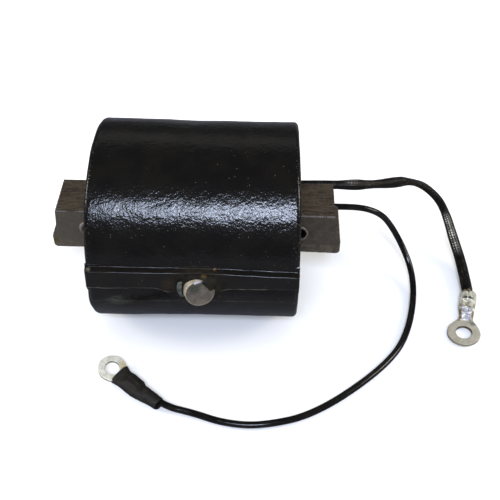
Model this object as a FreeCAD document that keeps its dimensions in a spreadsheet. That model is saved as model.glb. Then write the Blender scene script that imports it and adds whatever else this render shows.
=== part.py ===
# Magneto ignition coil with a laminated core, a high-tension button and two
# flexible low-tension leads.  Millimetres, +Z up, +X along the core.
# Origin: centre of the winding, on the coil's axis.
import FreeCAD, Part
import math
import os

from FreeCAD import Placement, Rotation, Vector
import Sketcher

os.makedirs("parts", exist_ok=True)
doc = FreeCAD.newDocument("ignition_coil")

# ---------------------------------------------------------------- dimensions
sheet = doc.addObject("Spreadsheet::Sheet", "Dims")
CELLS = [
    ("body_radius", 26.0, "outside radius of the varnished coil"),
    ("body_half", 25.75, "half length of the coil"),
    ("wrap_inner", 24.3, "inside radius of the outer wrap"),
    ("wrap_round", 1.2, "rounding of the outer wrap's edges"),
    ("stack_width", 12.9, "lamination stack across the sheets"),
    ("stack_height", 12.7, "height of one sheet"),
    ("stack_mid", -0.81, "middle of the core along the axis"),
    ("stack_half", 36.43, "half length of the core at its top edge"),
    ("sheet_count", 27, "number of laminations"),
    ("sheet_gap", 0.014, "oxide gap between laminations"),
    ("core_offset", 0.4, "core sits this far back and up in the winding"),
    ("sleeve_inside", 13.0, "inside of the core's paper sleeve, square"),
    ("sleeve_outside", 13.6, "outside of the core's paper sleeve, square"),
    ("sleeve_half", 23.4, "half length of the paper sleeve"),
    ("rivet_left", -28.4, "left rivet position along the axis"),
    ("rivet_right", 26.6, "right rivet position along the axis"),
    ("rivet_height", 1.3, "height of the rivets"),
    ("rivet_shank", 2.0, "outside radius of the tubular rivet"),
    ("rivet_bore", 1.7, "inside radius of the tubular rivet"),
    ("rivet_head", 2.6, "radius of the rolled rivet head"),
    ("rivet_roll", 0.6, "thickness of the rolled rivet head"),
    ("former_radius", 10.8, "outside radius of the winding former"),
    ("former_half", 21.5, "half length of the former"),
    ("flange_thick", 1.0, "thickness of the former's end flanges"),
    ("primary_half", 19.6, "half length of the primary layers"),
    ("primary_a", 12.2, "outside radius of the inner primary layers"),
    ("primary_b", 12.4, "outside radius of the primary layer paper"),
    ("primary_c", 13.8, "outside radius of the outer primary layers"),
    ("paper_half", 20.3, "half length of the primary layer paper"),
    ("barrier_radius", 14.8, "outside radius of the insulating tube"),
    ("inner_half", 20.4, "half length between the flanges, with slack"),
    ("pack_thick", 1.22, "radial thickness of one secondary pack"),
    ("pack_paper", 0.25, "radial thickness of the paper between packs"),
    ("pack_half", 18.5, "half length of the innermost secondary pack"),
    ("pack_step", 0.5, "each outer pack is shorter by this at each end"),
    ("cover_inner", 21.9, "inside radius of the cambric over the secondary"),
    ("cover_outer", 22.7, "outside radius of the cambric"),
    ("potting_face", 25.35, "end face of the end compound"),
    ("recess_floor", 23.2, "floor of the recess round the core"),
    ("recess_radius", 12.0, "radius of the recess round the core"),
    ("button_along", 1.4, "button position along the axis"),
    ("button_angle", 2.5, "button direction above the horizontal, degrees"),
    ("button_radius", 3.35, "radius of the button's head"),
    ("button_seat", 26.05, "underside of the head from the coil's axis"),
    ("button_face", 29.6, "contact face from the coil's axis"),
    ("button_shank", 1.6, "radius of the button's shank"),
    ("button_foot", 23.0, "foot of the shank from the coil's axis"),
    ("button_bevel", 0.35, "bevel round the contact face"),
    ("rail_low", 1.8, "lower side of the cover strip, degrees"),
    ("rail_high", 13.6, "upper side of the cover strip, degrees"),
    ("rail_top", 27.6, "outside radius of the cover strip"),
    ("rail_half", 25.95, "half length of the cover strip"),
    ("flap_low", -13.0, "lower edge of the wrap's end flap, degrees"),
    ("flap_top", 26.35, "outside radius of the end flap"),
    ("flap_half", 25.0, "half length of the end flap"),
    ("ground_wire", 2.8, "diameter of the braided earth lead"),
    ("ground_back", 9.4, "earth lead behind the axis where it leaves"),
    ("ground_up", 3.6, "earth lead above the axis where it leaves"),
    ("primary_wire", 1.8, "diameter of the primary lead"),
    ("primary_back", 8.6, "primary lead behind the axis where it leaves"),
    ("primary_up", -2.5, "primary lead height where it leaves"),
    ("lead_start", 22.0, "inner end of both leads along the axis"),
    ("bush_end", 23.9, "outer end of both exit bushes"),
    ("tail_radius", 0.25, "radius of the winding tails"),
    ("rest_level", -26.0, "level of the surface that the part lies on"),
    ("large_ring", 4.6, "outer radius of the large ring terminal"),
    ("large_hole", 2.5, "hole radius of the large ring terminal"),
    ("large_plate", 0.85, "plate thickness of the large ring terminal"),
    ("small_ring", 3.8, "outer radius of the small ring terminal"),
    ("small_hole", 2.15, "hole radius of the small ring terminal"),
    ("small_plate", 0.8, "plate thickness of the small ring terminal"),
    ("small_tilt", 15.0, "upward bend of the small ring, degrees"),
]
for row, (alias, value, note) in enumerate(CELLS, start=1):
    sheet.set("A%d" % row, note)
    sheet.set("B%d" % row, str(value))
    sheet.setAlias("B%d" % row, alias)
doc.recompute()


def cell(alias):
    return float(sheet.get(alias))


PARTS = []


def keep(obj, label):
    obj.Label = label
    PARTS.append(obj)
    return obj


X_AXIS = Rotation(Vector(0, 1, 0), 90)


def rod(name, radius, length, start):
    """A cylinder along +X whose radius, length and start are expressions."""
    obj = doc.addObject("Part::Cylinder", name)
    obj.Placement = Placement(Vector(0, 0, 0), X_AXIS)
    obj.setExpression("Radius", radius)
    obj.setExpression("Height", length)
    obj.setExpression(".Placement.Base.x", start)
    return obj


def cut(name, base, tool):
    obj = doc.addObject("Part::Cut", name)
    obj.Base = base
    obj.Tool = tool
    return obj


def tube(name, outer, inner, half):
    """A tube centred on the origin along X."""
    a = rod(name + "_outer", outer, "2 * (%s)" % half, "-(%s)" % half)
    b = rod(name + "_inner", inner, "2 * (%s) + 2" % half, "-(%s) - 1" % half)
    return cut(name, a, b)


def square_bar(name, side, half):
    """A square bar along X through the offset core position."""
    obj = doc.addObject("Part::Box", name)
    obj.setExpression("Length", "2 * (%s)" % half)
    obj.setExpression("Width", side)
    obj.setExpression("Height", side)
    obj.setExpression(".Placement.Base.x", "-(%s)" % half)
    obj.setExpression(".Placement.Base.y", "Dims.core_offset - (%s) / 2" % side)
    obj.setExpression(".Placement.Base.z", "Dims.core_offset - (%s) / 2" % side)
    return obj


def feature(label, shape):
    obj = doc.addObject("Part::Feature", label)
    obj.Shape = shape
    return keep(obj, label)


def plane_of(body, role):
    for item in body.Origin.OriginFeatures:
        if item.Role == role:
            return item
    raise RuntimeError("no plane " + role)


# ------------------------------------------------------------ laminated core
off = cell("core_offset")
half_z = cell("stack_height") / 2
mid = cell("stack_mid")
top_half = cell("stack_half")

# One side of a sheet's end, as (distance beyond the top corner, height).
END = [
    ("line", (0.0, half_z), (0.55, -0.2)),
    ("arc", (0.55, -0.2), (0.85, -1.15), (1.45, -1.75)),
    ("arc", (1.45, -1.75), (1.83, -2.15), (1.92, -2.8)),
    ("line", (1.92, -2.8), (1.95, -half_z + 1.15)),
    ("arc", (1.95, -half_z + 1.15), (1.62, -half_z + 0.33), (0.8, -half_z)),
]


def end_edges(side):
    edges = []
    for item in END:
        pts = [Vector(mid + side * (top_half + p[0]), 0, off + p[1]) for p in item[1:]]
        if item[0] == "line":
            edges.append(Part.LineSegment(pts[0], pts[1]).toShape())
        else:
            edges.append(Part.Arc(pts[0], pts[1], pts[2]).toShape())
    return edges


def corner(side, distance, height):
    return Vector(mid + side * (top_half + distance), 0, off + height)


outline = end_edges(1) + end_edges(-1)
outline.append(Part.LineSegment(corner(1, 0, half_z), corner(-1, 0, half_z)).toShape())
outline.append(Part.LineSegment(corner(1, 0.8, -half_z), corner(-1, 0.8, -half_z)).toShape())
outline_wire = Part.Wire(Part.__sortEdges__(outline))
sheet_face = Part.Face(outline_wire)
for key in ("rivet_left", "rivet_right"):
    hole = Part.Circle(Vector(cell(key), 0, cell("rivet_height")), Vector(0, 1, 0),
                       cell("rivet_shank") + 0.1).toShape()
    sheet_face = sheet_face.cut(Part.Face(Part.Wire([hole])))
sheet_face = sheet_face.Faces[0]

count = int(cell("sheet_count"))
pitch = cell("stack_width") / count
thick = pitch - cell("sheet_gap")
prism = sheet_face.copy()
prism.translate(Vector(0, -12, 0))
prism = prism.extrude(Vector(0, 24, 0))
sheets = []
bend_at = 23.9
for k in range(count):
    y0 = off - cell("stack_width") / 2 + k * pitch
    y1 = y0 + thick
    # the right-hand end of the stack has sprung open in three groups
    place = k / (count - 1.0)
    if place < 0.15:
        spread = -0.52 + 0.4 * place
    elif place < 0.75:
        spread = -0.12 + 0.42 * (place - 0.15)
    else:
        spread = 0.34 + 0.8 * (place - 0.75)
    far = 40.0
    slab = Part.makePolygon([
        Vector(-41, y0, -9), Vector(bend_at, y0, -9), Vector(far, y0 + spread, -9),
        Vector(far, y1 + spread, -9), Vector(bend_at, y1, -9), Vector(-41, y1, -9),
        Vector(-41, y0, -9)])
    slab = Part.Face(slab).extrude(Vector(0, 0, 18))
    piece = prism.copy()
    piece.translate(Vector(0.06 * math.sin(2.3 * k), 0, 0.035 * math.sin(1.7 * k + 0.6)))
    sheets.append(piece.common(slab).Solids[0])
feature("core_laminations", Part.makeCompound(sheets))


# -------------------------------------------------------- tubular core rivets
def rivet(label, along, front, back):
    body = doc.addObject("PartDesign::Body", label)
    sketch = body.newObject("Sketcher::SketchObject", label + "_profile")
    sketch.AttachmentSupport = [(plane_of(body, "XY_Plane"), "")]
    sketch.MapMode = "FlatFace"
    shank, bore = cell("rivet_shank"), cell("rivet_bore")
    head, roll = cell("rivet_head"), cell("rivet_roll")
    pts = [
        (bore, front - roll), (head - 0.25, front - roll), (head, front - roll + 0.25),
        (head, front), (shank, front), (shank, back), (head, back),
        (head, back + roll - 0.25), (head - 0.25, back + roll), (bore, back + roll),
    ]
    for i in range(len(pts)):
        a, b = pts[i], pts[(i + 1) % len(pts)]
        sketch.addGeometry(Part.LineSegment(Vector(a[0], a[1], 0), Vector(b[0], b[1], 0)))
    for i in range(len(pts)):
        sketch.addConstraint(Sketcher.Constraint("Coincident", i, 2, (i + 1) % len(pts), 1))
    rev = body.newObject("PartDesign::Revolution", label + "_turned")
    rev.Profile = sketch
    rev.ReferenceAxis = (sketch, ["V_Axis"])
    rev.Angle = 360
    body.Placement = Placement(Vector(cell(along), 0, cell("rivet_height")), Rotation())
    body.setExpression(".Placement.Base.x", "Dims." + along)
    body.setExpression(".Placement.Base.z", "Dims.rivet_height")
    return keep(body, label)


front_y = off - cell("stack_width") / 2
back_y = off + cell("stack_width") / 2
rivet("core_rivet_left", "rivet_left", front_y - 0.02, back_y + 0.02)
rivet("core_rivet_right", "rivet_right", front_y - 0.22, back_y + 0.24)

# ---------------------------------------------- paper sleeve, former, flanges
keep(cut("core_sleeve_cut",
         square_bar("sleeve_solid", "Dims.sleeve_outside", "Dims.sleeve_half"),
         square_bar("sleeve_hole", "Dims.sleeve_inside", "Dims.sleeve_half + 1")),
     "core_paper_sleeve")
keep(cut("former_cut",
         rod("former_solid", "Dims.former_radius", "2 * Dims.former_half", "-Dims.former_half"),
         square_bar("former_hole", "Dims.sleeve_outside", "Dims.former_half + 1")),
     "coil_former")

# ------------------------------------------------------------ primary winding


def ridged(label, inner, outer, half, turns, depth):
    """A layer of round wire: a tube whose outside follows the turns."""
    step = 2.0 * half / turns
    pts = [Vector(-half, inner, 0), Vector(-half, outer - depth, 0)]
    for i in range(turns):
        x = -half + i * step
        pts.append(Vector(x + 0.3 * step, outer, 0))
        pts.append(Vector(x + 0.7 * step, outer, 0))
        pts.append(Vector(x + step, outer - depth, 0))
    pts.append(Vector(half, inner, 0))
    pts.append(pts[0])
    face = Part.Face(Part.makePolygon(pts))
    return feature(label, face.revolve(Vector(0, 0, 0), Vector(1, 0, 0), 360))


ridged("primary_winding_inner", cell("former_radius"), cell("primary_a"),
       cell("primary_half"), 28, 0.12)
keep(tube("primary_paper_tube", "Dims.primary_b", "Dims.primary_a", "Dims.paper_half"),
     "primary_layer_paper")
ridged("primary_winding_outer", cell("primary_b"), cell("primary_c"),
       cell("primary_half"), 28, 0.12)

# ---------------------------------------------------------- secondary winding
def radial_pin(along, angle, low, high, radius):
    direction = Vector(0, -math.cos(math.radians(angle)), math.sin(math.radians(angle)))
    return Part.makeCylinder(radius, high - low, Vector(along, 0, 0) + direction * low, direction)


tube_shape = Part.makeCylinder(cell("barrier_radius"), 2 * cell("inner_half"),
                               Vector(-cell("inner_half"), 0, 0), Vector(1, 0, 0))
tube_shape = tube_shape.cut(Part.makeCylinder(cell("primary_c"), 2 * cell("inner_half") + 2,
                                              Vector(-cell("inner_half") - 1, 0, 0),
                                              Vector(1, 0, 0)))
inner_keep = Part.makeCylinder(cell("barrier_radius"), 60, Vector(-30, 0, 0), Vector(1, 0, 0))
inner_less = Part.makeCylinder(cell("primary_c"), 60, Vector(-30, 0, 0), Vector(1, 0, 0))
pin_a = radial_pin(-18.0, 20.0, cell("primary_c") - 1, cell("barrier_radius") + 1, 0.35)
feature("winding_barrier_tube", tube_shape.cut(pin_a))
feature("secondary_start_tail", pin_a.common(inner_keep).cut(inner_less))

packs = []
papers = []
radius = cell("barrier_radius")
for i in range(5):
    length = cell("pack_half") - i * cell("pack_step")
    outer = radius + cell("pack_thick")
    ring = Part.makeCylinder(outer, 2 * length, Vector(-length, 0, 0), Vector(1, 0, 0))
    packs.append(ring.cut(Part.makeCylinder(radius, 60, Vector(-30, 0, 0), Vector(1, 0, 0))))
    radius = outer
    if i < 4:
        outer = radius + cell("pack_paper")
        ring = Part.makeCylinder(outer, 39.0, Vector(-19.5, 0, 0), Vector(1, 0, 0))
        papers.append(ring.cut(Part.makeCylinder(radius, 60, Vector(-30, 0, 0), Vector(1, 0, 0))))
        radius = outer
feature("secondary_winding", Part.makeCompound(packs))
feature("secondary_layer_papers", Part.makeCompound(papers))

# ------------------------------------------- high-tension take-off under the rail
angle = cell("button_angle")
out = Vector(0, -math.cos(math.radians(angle)), math.sin(math.radians(angle)))
side = Vector(0, math.sin(math.radians(angle)), math.cos(math.radians(angle)))


def plate_on(x_low, x_high, low, high, width):
    """A flat strip lying across the button's direction."""
    corner_point = Vector(x_low, 0, 0) + out * low - side * (width / 2)
    edge_a = Vector(x_high - x_low, 0, 0)
    face = Part.Face(Part.makePolygon([
        corner_point, corner_point + edge_a, corner_point + edge_a + side * width,
        corner_point + side * width, corner_point]))
    return face.extrude(out * (high - low))


cover = Part.makeCylinder(cell("cover_outer"), 2 * cell("inner_half"),
                          Vector(-cell("inner_half"), 0, 0), Vector(1, 0, 0))
cover = cover.cut(Part.makeCylinder(cell("cover_inner"), 60, Vector(-30, 0, 0), Vector(1, 0, 0)))
pin_b = radial_pin(-7.2, angle, cell("cover_inner") - 0.02, cell("cover_outer"), 0.35)
feature("secondary_cambric_cover", cover.cut(pin_b))
tail_b = pin_b.cut(Part.makeCylinder(cell("cover_inner"), 60, Vector(-30, 0, 0), Vector(1, 0, 0)))
feature("secondary_finish_tail", tail_b)
strip = plate_on(-9.0, cell("button_along") + 3.0, cell("cover_outer"), cell("button_foot"), 3.6)
feature("high_tension_strip", strip)

shank_space = Part.makeCylinder(cell("button_shank"), 8,
                                Vector(cell("button_along"), 0, 0) + out * cell("button_foot"), out)
filler = Part.makeCylinder(cell("wrap_inner"), 2 * cell("inner_half"),
                           Vector(-cell("inner_half"), 0, 0), Vector(1, 0, 0))
filler = filler.cut(Part.makeCylinder(cell("cover_outer"), 60, Vector(-30, 0, 0), Vector(1, 0, 0)))
filler = filler.cut(strip).cut(shank_space)
feature("filler_wrap", filler)

# ------------------------------------------------------------ outer wrap (shell)
body = doc.addObject("PartDesign::Body", "wrap_body")
sketch = body.newObject("Sketcher::SketchObject", "outer_wrap_profile")
sketch.AttachmentSupport = [(plane_of(body, "XY_Plane"), "")]
sketch.MapMode = "FlatFace"
bh, bi, bo = cell("body_half"), cell("wrap_inner"), cell("body_radius")
corners = [Vector(-bh, bi, 0), Vector(bh, bi, 0), Vector(bh, bo, 0), Vector(-bh, bo, 0)]
for i in range(4):
    sketch.addGeometry(Part.LineSegment(corners[i], corners[(i + 1) % 4]))
for i in range(4):
    sketch.addConstraint(Sketcher.Constraint("Coincident", i, 2, (i + 1) % 4, 1))
sketch.addConstraint(Sketcher.Constraint("Horizontal", 0))
sketch.addConstraint(Sketcher.Constraint("Horizontal", 2))
sketch.addConstraint(Sketcher.Constraint("Vertical", 1))
sketch.addConstraint(Sketcher.Constraint("Vertical", 3))
c_in = sketch.addConstraint(Sketcher.Constraint("DistanceY", -1, 1, 0, 1, bi))
c_out = sketch.addConstraint(Sketcher.Constraint("DistanceY", -1, 1, 2, 1, bo))
c_left = sketch.addConstraint(Sketcher.Constraint("DistanceX", 0, 1, -1, 1, bh))
c_right = sketch.addConstraint(Sketcher.Constraint("DistanceX", -1, 1, 0, 2, bh))
sketch.setExpression("Constraints[%d]" % c_in, "Dims.wrap_inner")
sketch.setExpression("Constraints[%d]" % c_out, "Dims.body_radius")
sketch.setExpression("Constraints[%d]" % c_left, "Dims.body_half")
sketch.setExpression("Constraints[%d]" % c_right, "Dims.body_half")
rev = body.newObject("PartDesign::Revolution", "outer_wrap_turned")
rev.Profile = sketch
rev.ReferenceAxis = (sketch, ["H_Axis"])
rev.Angle = 360
doc.recompute()
rim = []
for i, edge in enumerate(rev.Shape.Edges, start=1):
    if isinstance(edge.Curve, Part.Circle) and abs(edge.Curve.Radius - bo) < 1e-6:
        rim.append("Edge%d" % i)
fillet = body.newObject("PartDesign::Fillet", "outer_wrap_edges")
fillet.Base = (rev, rim)
fillet.Radius = cell("wrap_round")
fillet.setExpression("Radius", "Dims.wrap_round")
doc.recompute()
shank_hole = doc.addObject("Part::Cylinder", "shank_hole")
shank_hole.setExpression("Radius", "Dims.button_shank")
shank_hole.Height = 8
shank_hole.Placement = Placement(Vector(cell("button_along"), 0, 0) + out * cell("button_foot"),
                                 Rotation(Vector(0, 0, 1), out))
body.Label = "wrap_turned_body"
keep(cut("outer_wrap_pierced", body, shank_hole), "outer_wrap")


# --------------------------------------------------------------- button
body = doc.addObject("PartDesign::Body", "button_body")
sketch = body.newObject("Sketcher::SketchObject", "button_profile")
sketch.AttachmentSupport = [(plane_of(body, "XZ_Plane"), "")]
sketch.MapMode = "FlatFace"
br, bs, bf, bt = cell("button_radius"), cell("button_seat"), cell("button_face"), cell("button_foot")
sh = cell("button_shank")
pts = [(0, bt), (sh, bt), (sh, bs), (br, bs), (br, bf), (0, bf)]
for i in range(len(pts)):
    a, b = pts[i], pts[(i + 1) % len(pts)]
    sketch.addGeometry(Part.LineSegment(Vector(a[0], a[1], 0), Vector(b[0], b[1], 0)))
for i in range(len(pts)):
    sketch.addConstraint(Sketcher.Constraint("Coincident", i, 2, (i + 1) % len(pts), 1))
for i in (0, 2, 4):
    sketch.addConstraint(Sketcher.Constraint("Horizontal", i))
for i in (1, 3, 5):
    sketch.addConstraint(Sketcher.Constraint("Vertical", i))
sketch.addConstraint(Sketcher.Constraint("PointOnObject", 5, 1, -2))
for args, alias in (((("DistanceX", -1, 1, 1, 1, sh)), "button_shank"),
                    ((("DistanceX", -1, 1, 3, 1, br)), "button_radius"),
                    ((("DistanceY", -1, 1, 0, 1, bt)), "button_foot"),
                    ((("DistanceY", -1, 1, 2, 1, bs)), "button_seat"),
                    ((("DistanceY", -1, 1, 4, 1, bf)), "button_face")):
    index = sketch.addConstraint(Sketcher.Constraint(*args))
    sketch.setExpression("Constraints[%d]" % index, "Dims." + alias)
rev = body.newObject("PartDesign::Revolution", "button_turned")
rev.Profile = sketch
rev.ReferenceAxis = (sketch, ["V_Axis"])
rev.Angle = 360
doc.recompute()
rim = []
for i, edge in enumerate(rev.Shape.Edges, start=1):
    if isinstance(edge.Curve, Part.Circle) and abs(edge.Curve.Radius - br) < 1e-6 \
            and abs(edge.Curve.Center.z - bf) < 1e-6:
        rim.append("Edge%d" % i)
chamfer = body.newObject("PartDesign::Chamfer", "button_bevelled")
chamfer.Base = (rev, rim)
chamfer.Size = cell("button_bevel")
chamfer.setExpression("Size", "Dims.button_bevel")
doc.recompute()
body.Placement = Placement(Vector(cell("button_along"), 0, 0), Rotation(Vector(0, 0, 1), out))
body.setExpression(".Placement.Base.x", "Dims.button_along")
keep(body, "high_tension_button")
doc.recompute()
head_space = Part.makeCylinder(br, 6, Vector(cell("button_along"), 0, 0) + out * bs, out)


# ------------------------------------- cover strip (rail) and the wrap's end flap
def sector(low, high, r_in, r_out, half):
    """A band round the X axis; angles go up from the front (-Y) side."""
    def at(r, a):
        return Vector(-half, -r * math.cos(math.radians(a)), r * math.sin(math.radians(a)))
    m = (low + high) / 2
    wire = Part.Wire([
        Part.Arc(at(r_in, low), at(r_in, m), at(r_in, high)).toShape(),
        Part.LineSegment(at(r_in, high), at(r_out, high)).toShape(),
        Part.Arc(at(r_out, high), at(r_out, m), at(r_out, low)).toShape(),
        Part.LineSegment(at(r_out, low), at(r_in, low)).toShape()])
    return Part.Face(wire).extrude(Vector(2 * half, 0, 0))


def outer_edges(shape, r_out):
    picked = []
    for edge in shape.Edges:
        pts = [v.Point for v in edge.Vertexes]
        if all(abs(math.hypot(q.y, q.z) - r_out) < 1e-4 for q in pts):
            picked.append(edge)
    return picked


rail = sector(cell("rail_low"), cell("rail_high"), cell("body_radius"), cell("rail_top"),
              cell("rail_half"))
rail = rail.makeFillet(0.45, outer_edges(rail, cell("rail_top")))
tab_plate = plate_on(-3.55, -2.0, cell("rail_top") - 0.15, cell("rail_top") + 0.45, 4.2)
tab_plate.translate(side * 1.9)
tab_plate = tab_plate.makeFillet(0.5, [e for e in tab_plate.Edges
                                      if abs((e.Vertexes[1].Point - e.Vertexes[0].Point)
                                             .normalize().dot(out)) > 0.99])
rail_cut = rail.cut(head_space).cut(tab_plate)
feature("high_tension_cover_strip", rail_cut)
flap = sector(cell("flap_low"), cell("rail_low"), cell("body_radius"), cell("flap_top"),
              cell("flap_half"))
feature("wrap_end_flap", flap.cut(head_space))
tab = tab_plate.cut(head_space)
feature("button_solder_tab", tab)

# varnish heaped round the button's foot
mound = Part.makeCone(5.6, 3.75, 3.6, Vector(cell("button_along"), 0, 0) + out * 24.9, out)
mound = mound.cut(Part.makeCylinder(cell("body_radius"), 60, Vector(-30, 0, 0), Vector(1, 0, 0)))
mound = mound.cut(rail).cut(flap).cut(head_space).cut(tab_plate)
feature("button_varnish_collar", mound)

# ------------------------------------------------------ leads: shared geometry


def lead_path(points):
    """Straight runs joined by tangent arcs, each as large as its runs allow."""
    pts = [Vector(*p) for p in points]
    edges, radii, length = [], [], 0.0
    last = pts[0]
    for i in range(1, len(pts) - 1):
        a, b = pts[i] - pts[i - 1], pts[i + 1] - pts[i]
        turn = a.getAngle(b)
        reach = 0.45 * min(a.Length, b.Length)
        ua, ub = Vector(a).normalize(), Vector(b).normalize()
        start, end = pts[i] - ua * reach, pts[i] + ub * reach
        r = reach / math.tan(turn / 2)
        centre = pts[i] + (ub - ua).normalize() * (r / math.cos(turn / 2))
        middle = centre + (pts[i] - centre).normalize() * r
        edges.append(Part.LineSegment(last, start).toShape())
        edges.append(Part.Arc(start, middle, end).toShape())
        length += (start - last).Length + r * turn
        radii.append(r)
        last = end
    edges.append(Part.LineSegment(last, pts[-1]).toShape())
    length += (pts[-1] - last).Length
    return Part.Wire(edges), radii, length


def lead(label, points, diameter):
    wire, radii, length = lead_path(points)
    first = Vector(*points[1]) - Vector(*points[0])
    section = Part.Wire([Part.Circle(Vector(*points[0]), first, diameter / 2).toShape()])
    pipe = wire.makePipeShell([section], True, False)
    if not pipe.isValid() or pipe.Volume < 0:
        pipe.reverse()
    expected = math.pi * diameter ** 2 / 4 * length
    print("%s: length %.1f mm, radii %s, volume %.1f against %.1f" % (
        label, length, [round(r, 1) for r in radii], pipe.Volume, expected))
    if abs(pipe.Volume / expected - 1) > 0.01:
        raise RuntimeError(label + " volume is off")
    return feature(label, pipe)


rest = cell("rest_level")
ground_end = Vector(75.77, -1.75, rest + 2.1)
ground_dir = Vector(-0.188, -0.982, 0).normalize()
GROUND_ROUTE = [
    (cell("lead_start"), cell("ground_back"), cell("ground_up")),
    (35.0, cell("ground_back"), cell("ground_up")),
    (48.9, 13.4, 2.2),
    (63.6, 23.0, -5.2),
    (72.4, 22.8, -15.6),
    (77.3, 8.6, -23.6),
    (75.1, -3.9, -23.9),
]
tip = Vector(*GROUND_ROUTE[-1])
lead_in = (tip - Vector(*GROUND_ROUTE[-2])).normalize()
small_dir = Vector(-0.782, 0.623, 0).normalize()
sleeve_end = Vector(-8.15, -43.62, rest + 1.7)
sleeve_tip = sleeve_end + small_dir * 7.0
before = sleeve_end - small_dir * 4.6
PRIMARY_ROUTE = [
    (cell("lead_start"), cell("primary_back"), cell("primary_up")),
    (33.5, cell("primary_back"), cell("primary_up")),
    (45.9, 10.7, -4.2),
    (56.9, 12.7, -15.6),
    (61.5, -1.1, -25.1),
    (58.2, -16.4, -25.1),
    (48.8, -32.3, -25.1),
    (35.4, -43.4, -25.1),
    (19.4, -49.4, -25.1),
    (6.0, -48.4, -25.0),
    (round(before.x, 2), round(before.y, 2), -24.4),
    (round(sleeve_tip.x, 2), round(sleeve_tip.y, 2), round(sleeve_tip.z, 2)),
]
print("ground route", [tuple(round(c, 2) for c in p) for p in GROUND_ROUTE])
print("primary route", [tuple(round(c, 2) for c in p) for p in PRIMARY_ROUTE])
lead("ground_lead", GROUND_ROUTE, cell("ground_wire"))
lead("primary_lead", PRIMARY_ROUTE, cell("primary_wire"))


# ------------------------------------ winding tails, exit bushes, flanges, potting
def wire_run(points, r):
    shape = None
    pts = [Vector(*p) for p in points]
    for i in range(len(pts) - 1):
        seg = pts[i + 1] - pts[i]
        part = Part.makeCylinder(r, seg.Length, pts[i], seg)
        if i:
            part = part.fuse(Part.makeSphere(r, pts[i]))
        shape = part if shape is None else shape.fuse(part)
    return shape.removeSplitter()


tr = cell("tail_radius")
gy, gz = cell("ground_back"), cell("ground_up")
py, pz = cell("primary_back"), cell("primary_up")
knee = cell("former_half") + tr + 0.02


def tail(label, lead_y, lead_z, layer):
    reach = math.hypot(lead_y, lead_z)
    oy, oz = lead_y / reach * layer, lead_z / reach * layer
    shape = wire_run([(cell("primary_half"), oy, oz), (knee, oy, oz), (knee, lead_y, lead_z),
                      (cell("lead_start"), lead_y, lead_z)], tr)
    shape = shape.common(Part.makeBox(10, 60, 60, Vector(cell("primary_half"), -30, -30)))
    shape = shape.cut(Part.makeBox(10, 60, 60, Vector(cell("lead_start"), -30, -30)))
    return feature(label, shape).Shape


tail_start = tail("primary_start_tail", gy, gz, 11.5)
tail_finish = tail("primary_finish_tail", py, pz, 13.1)


def bush(label, y, z, inner, outer):
    a = Part.makeCylinder(outer, cell("bush_end") - cell("lead_start"),
                          Vector(cell("lead_start"), y, z), Vector(1, 0, 0))
    solid = a.copy()
    b = Part.makeCylinder(inner, 10, Vector(cell("lead_start") - 1, y, z), Vector(1, 0, 0))
    feature(label, a.cut(b))
    return solid


ground_bush = bush("ground_lead_bush", gy, gz, cell("ground_wire") / 2, cell("ground_wire") / 2 + 0.28)
primary_bush = bush("primary_lead_bush", py, pz, cell("primary_wire") / 2,
                    cell("primary_wire") / 2 + 0.3)


def washer(label, sign):
    low = cell("former_half") - cell("flange_thick")
    x0 = low if sign > 0 else -cell("former_half")
    ring = Part.makeCylinder(cell("wrap_inner"), cell("flange_thick"), Vector(x0, 0, 0),
                             Vector(1, 0, 0))
    ring = ring.cut(Part.makeCylinder(cell("former_radius"), 60, Vector(-30, 0, 0),
                                      Vector(1, 0, 0)))
    if sign > 0:
        ring = ring.cut(tail_start).cut(tail_finish)
    return feature(label, ring)


washer("former_flange_left", -1)
washer("former_flange_right", 1)

core_hole = Part.makeBox(80, cell("sleeve_outside"), cell("sleeve_outside"),
                         Vector(-40, off - cell("sleeve_outside") / 2,
                                off - cell("sleeve_outside") / 2))


def potting(label, sign):
    depth = cell("potting_face") - cell("former_half")
    disc = Part.makeCylinder(cell("wrap_inner"), depth, Vector(cell("former_half"), 0, 0),
                             Vector(1, 0, 0))
    disc = disc.cut(Part.makeCylinder(cell("recess_radius"), 10,
                                      Vector(cell("recess_floor"), 0, 0), Vector(1, 0, 0)))
    rims = []
    for edge in disc.Edges:
        if isinstance(edge.Curve, Part.Circle) and abs(edge.Curve.Center.x - cell("potting_face")) < 1e-6 \
                and edge.Curve.Radius < cell("wrap_inner") - 1:
            rims.append(edge)
    disc = disc.makeFillet(0.9, rims)
    if sign < 0:
        disc = disc.mirror(Vector(0, 0, 0), Vector(1, 0, 0))
    disc = disc.cut(core_hole)
    if sign > 0:
        disc = disc.cut(ground_bush).cut(primary_bush).cut(tail_start).cut(tail_finish)
    return feature(label, disc)


potting("end_compound_left", -1)
potting("end_compound_right", 1)


# --------------------------------------------------------- large ring terminal
def ellipse_wire(centre, along, wide, tall):
    """Upright oval across a horizontal direction, always started at its side."""
    ring = Part.Circle(Vector(0, 0, 0), Vector(1, 0, 0), 1.0).toShape()
    squash = FreeCAD.Matrix()
    squash.scale(1.0, wide / 2, tall / 2)
    ring = ring.transformGeometry(squash)
    ring.Placement = Placement(centre, Rotation(Vector(1, 0, 0), along))
    return Part.Wire([ring])


def into_place(shape, mouth, direction):
    shape = shape.copy()
    turn = Rotation(Vector(1, 0, 0), direction)
    shape.Placement = Placement(mouth, turn).multiply(shape.Placement)
    return shape


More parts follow.
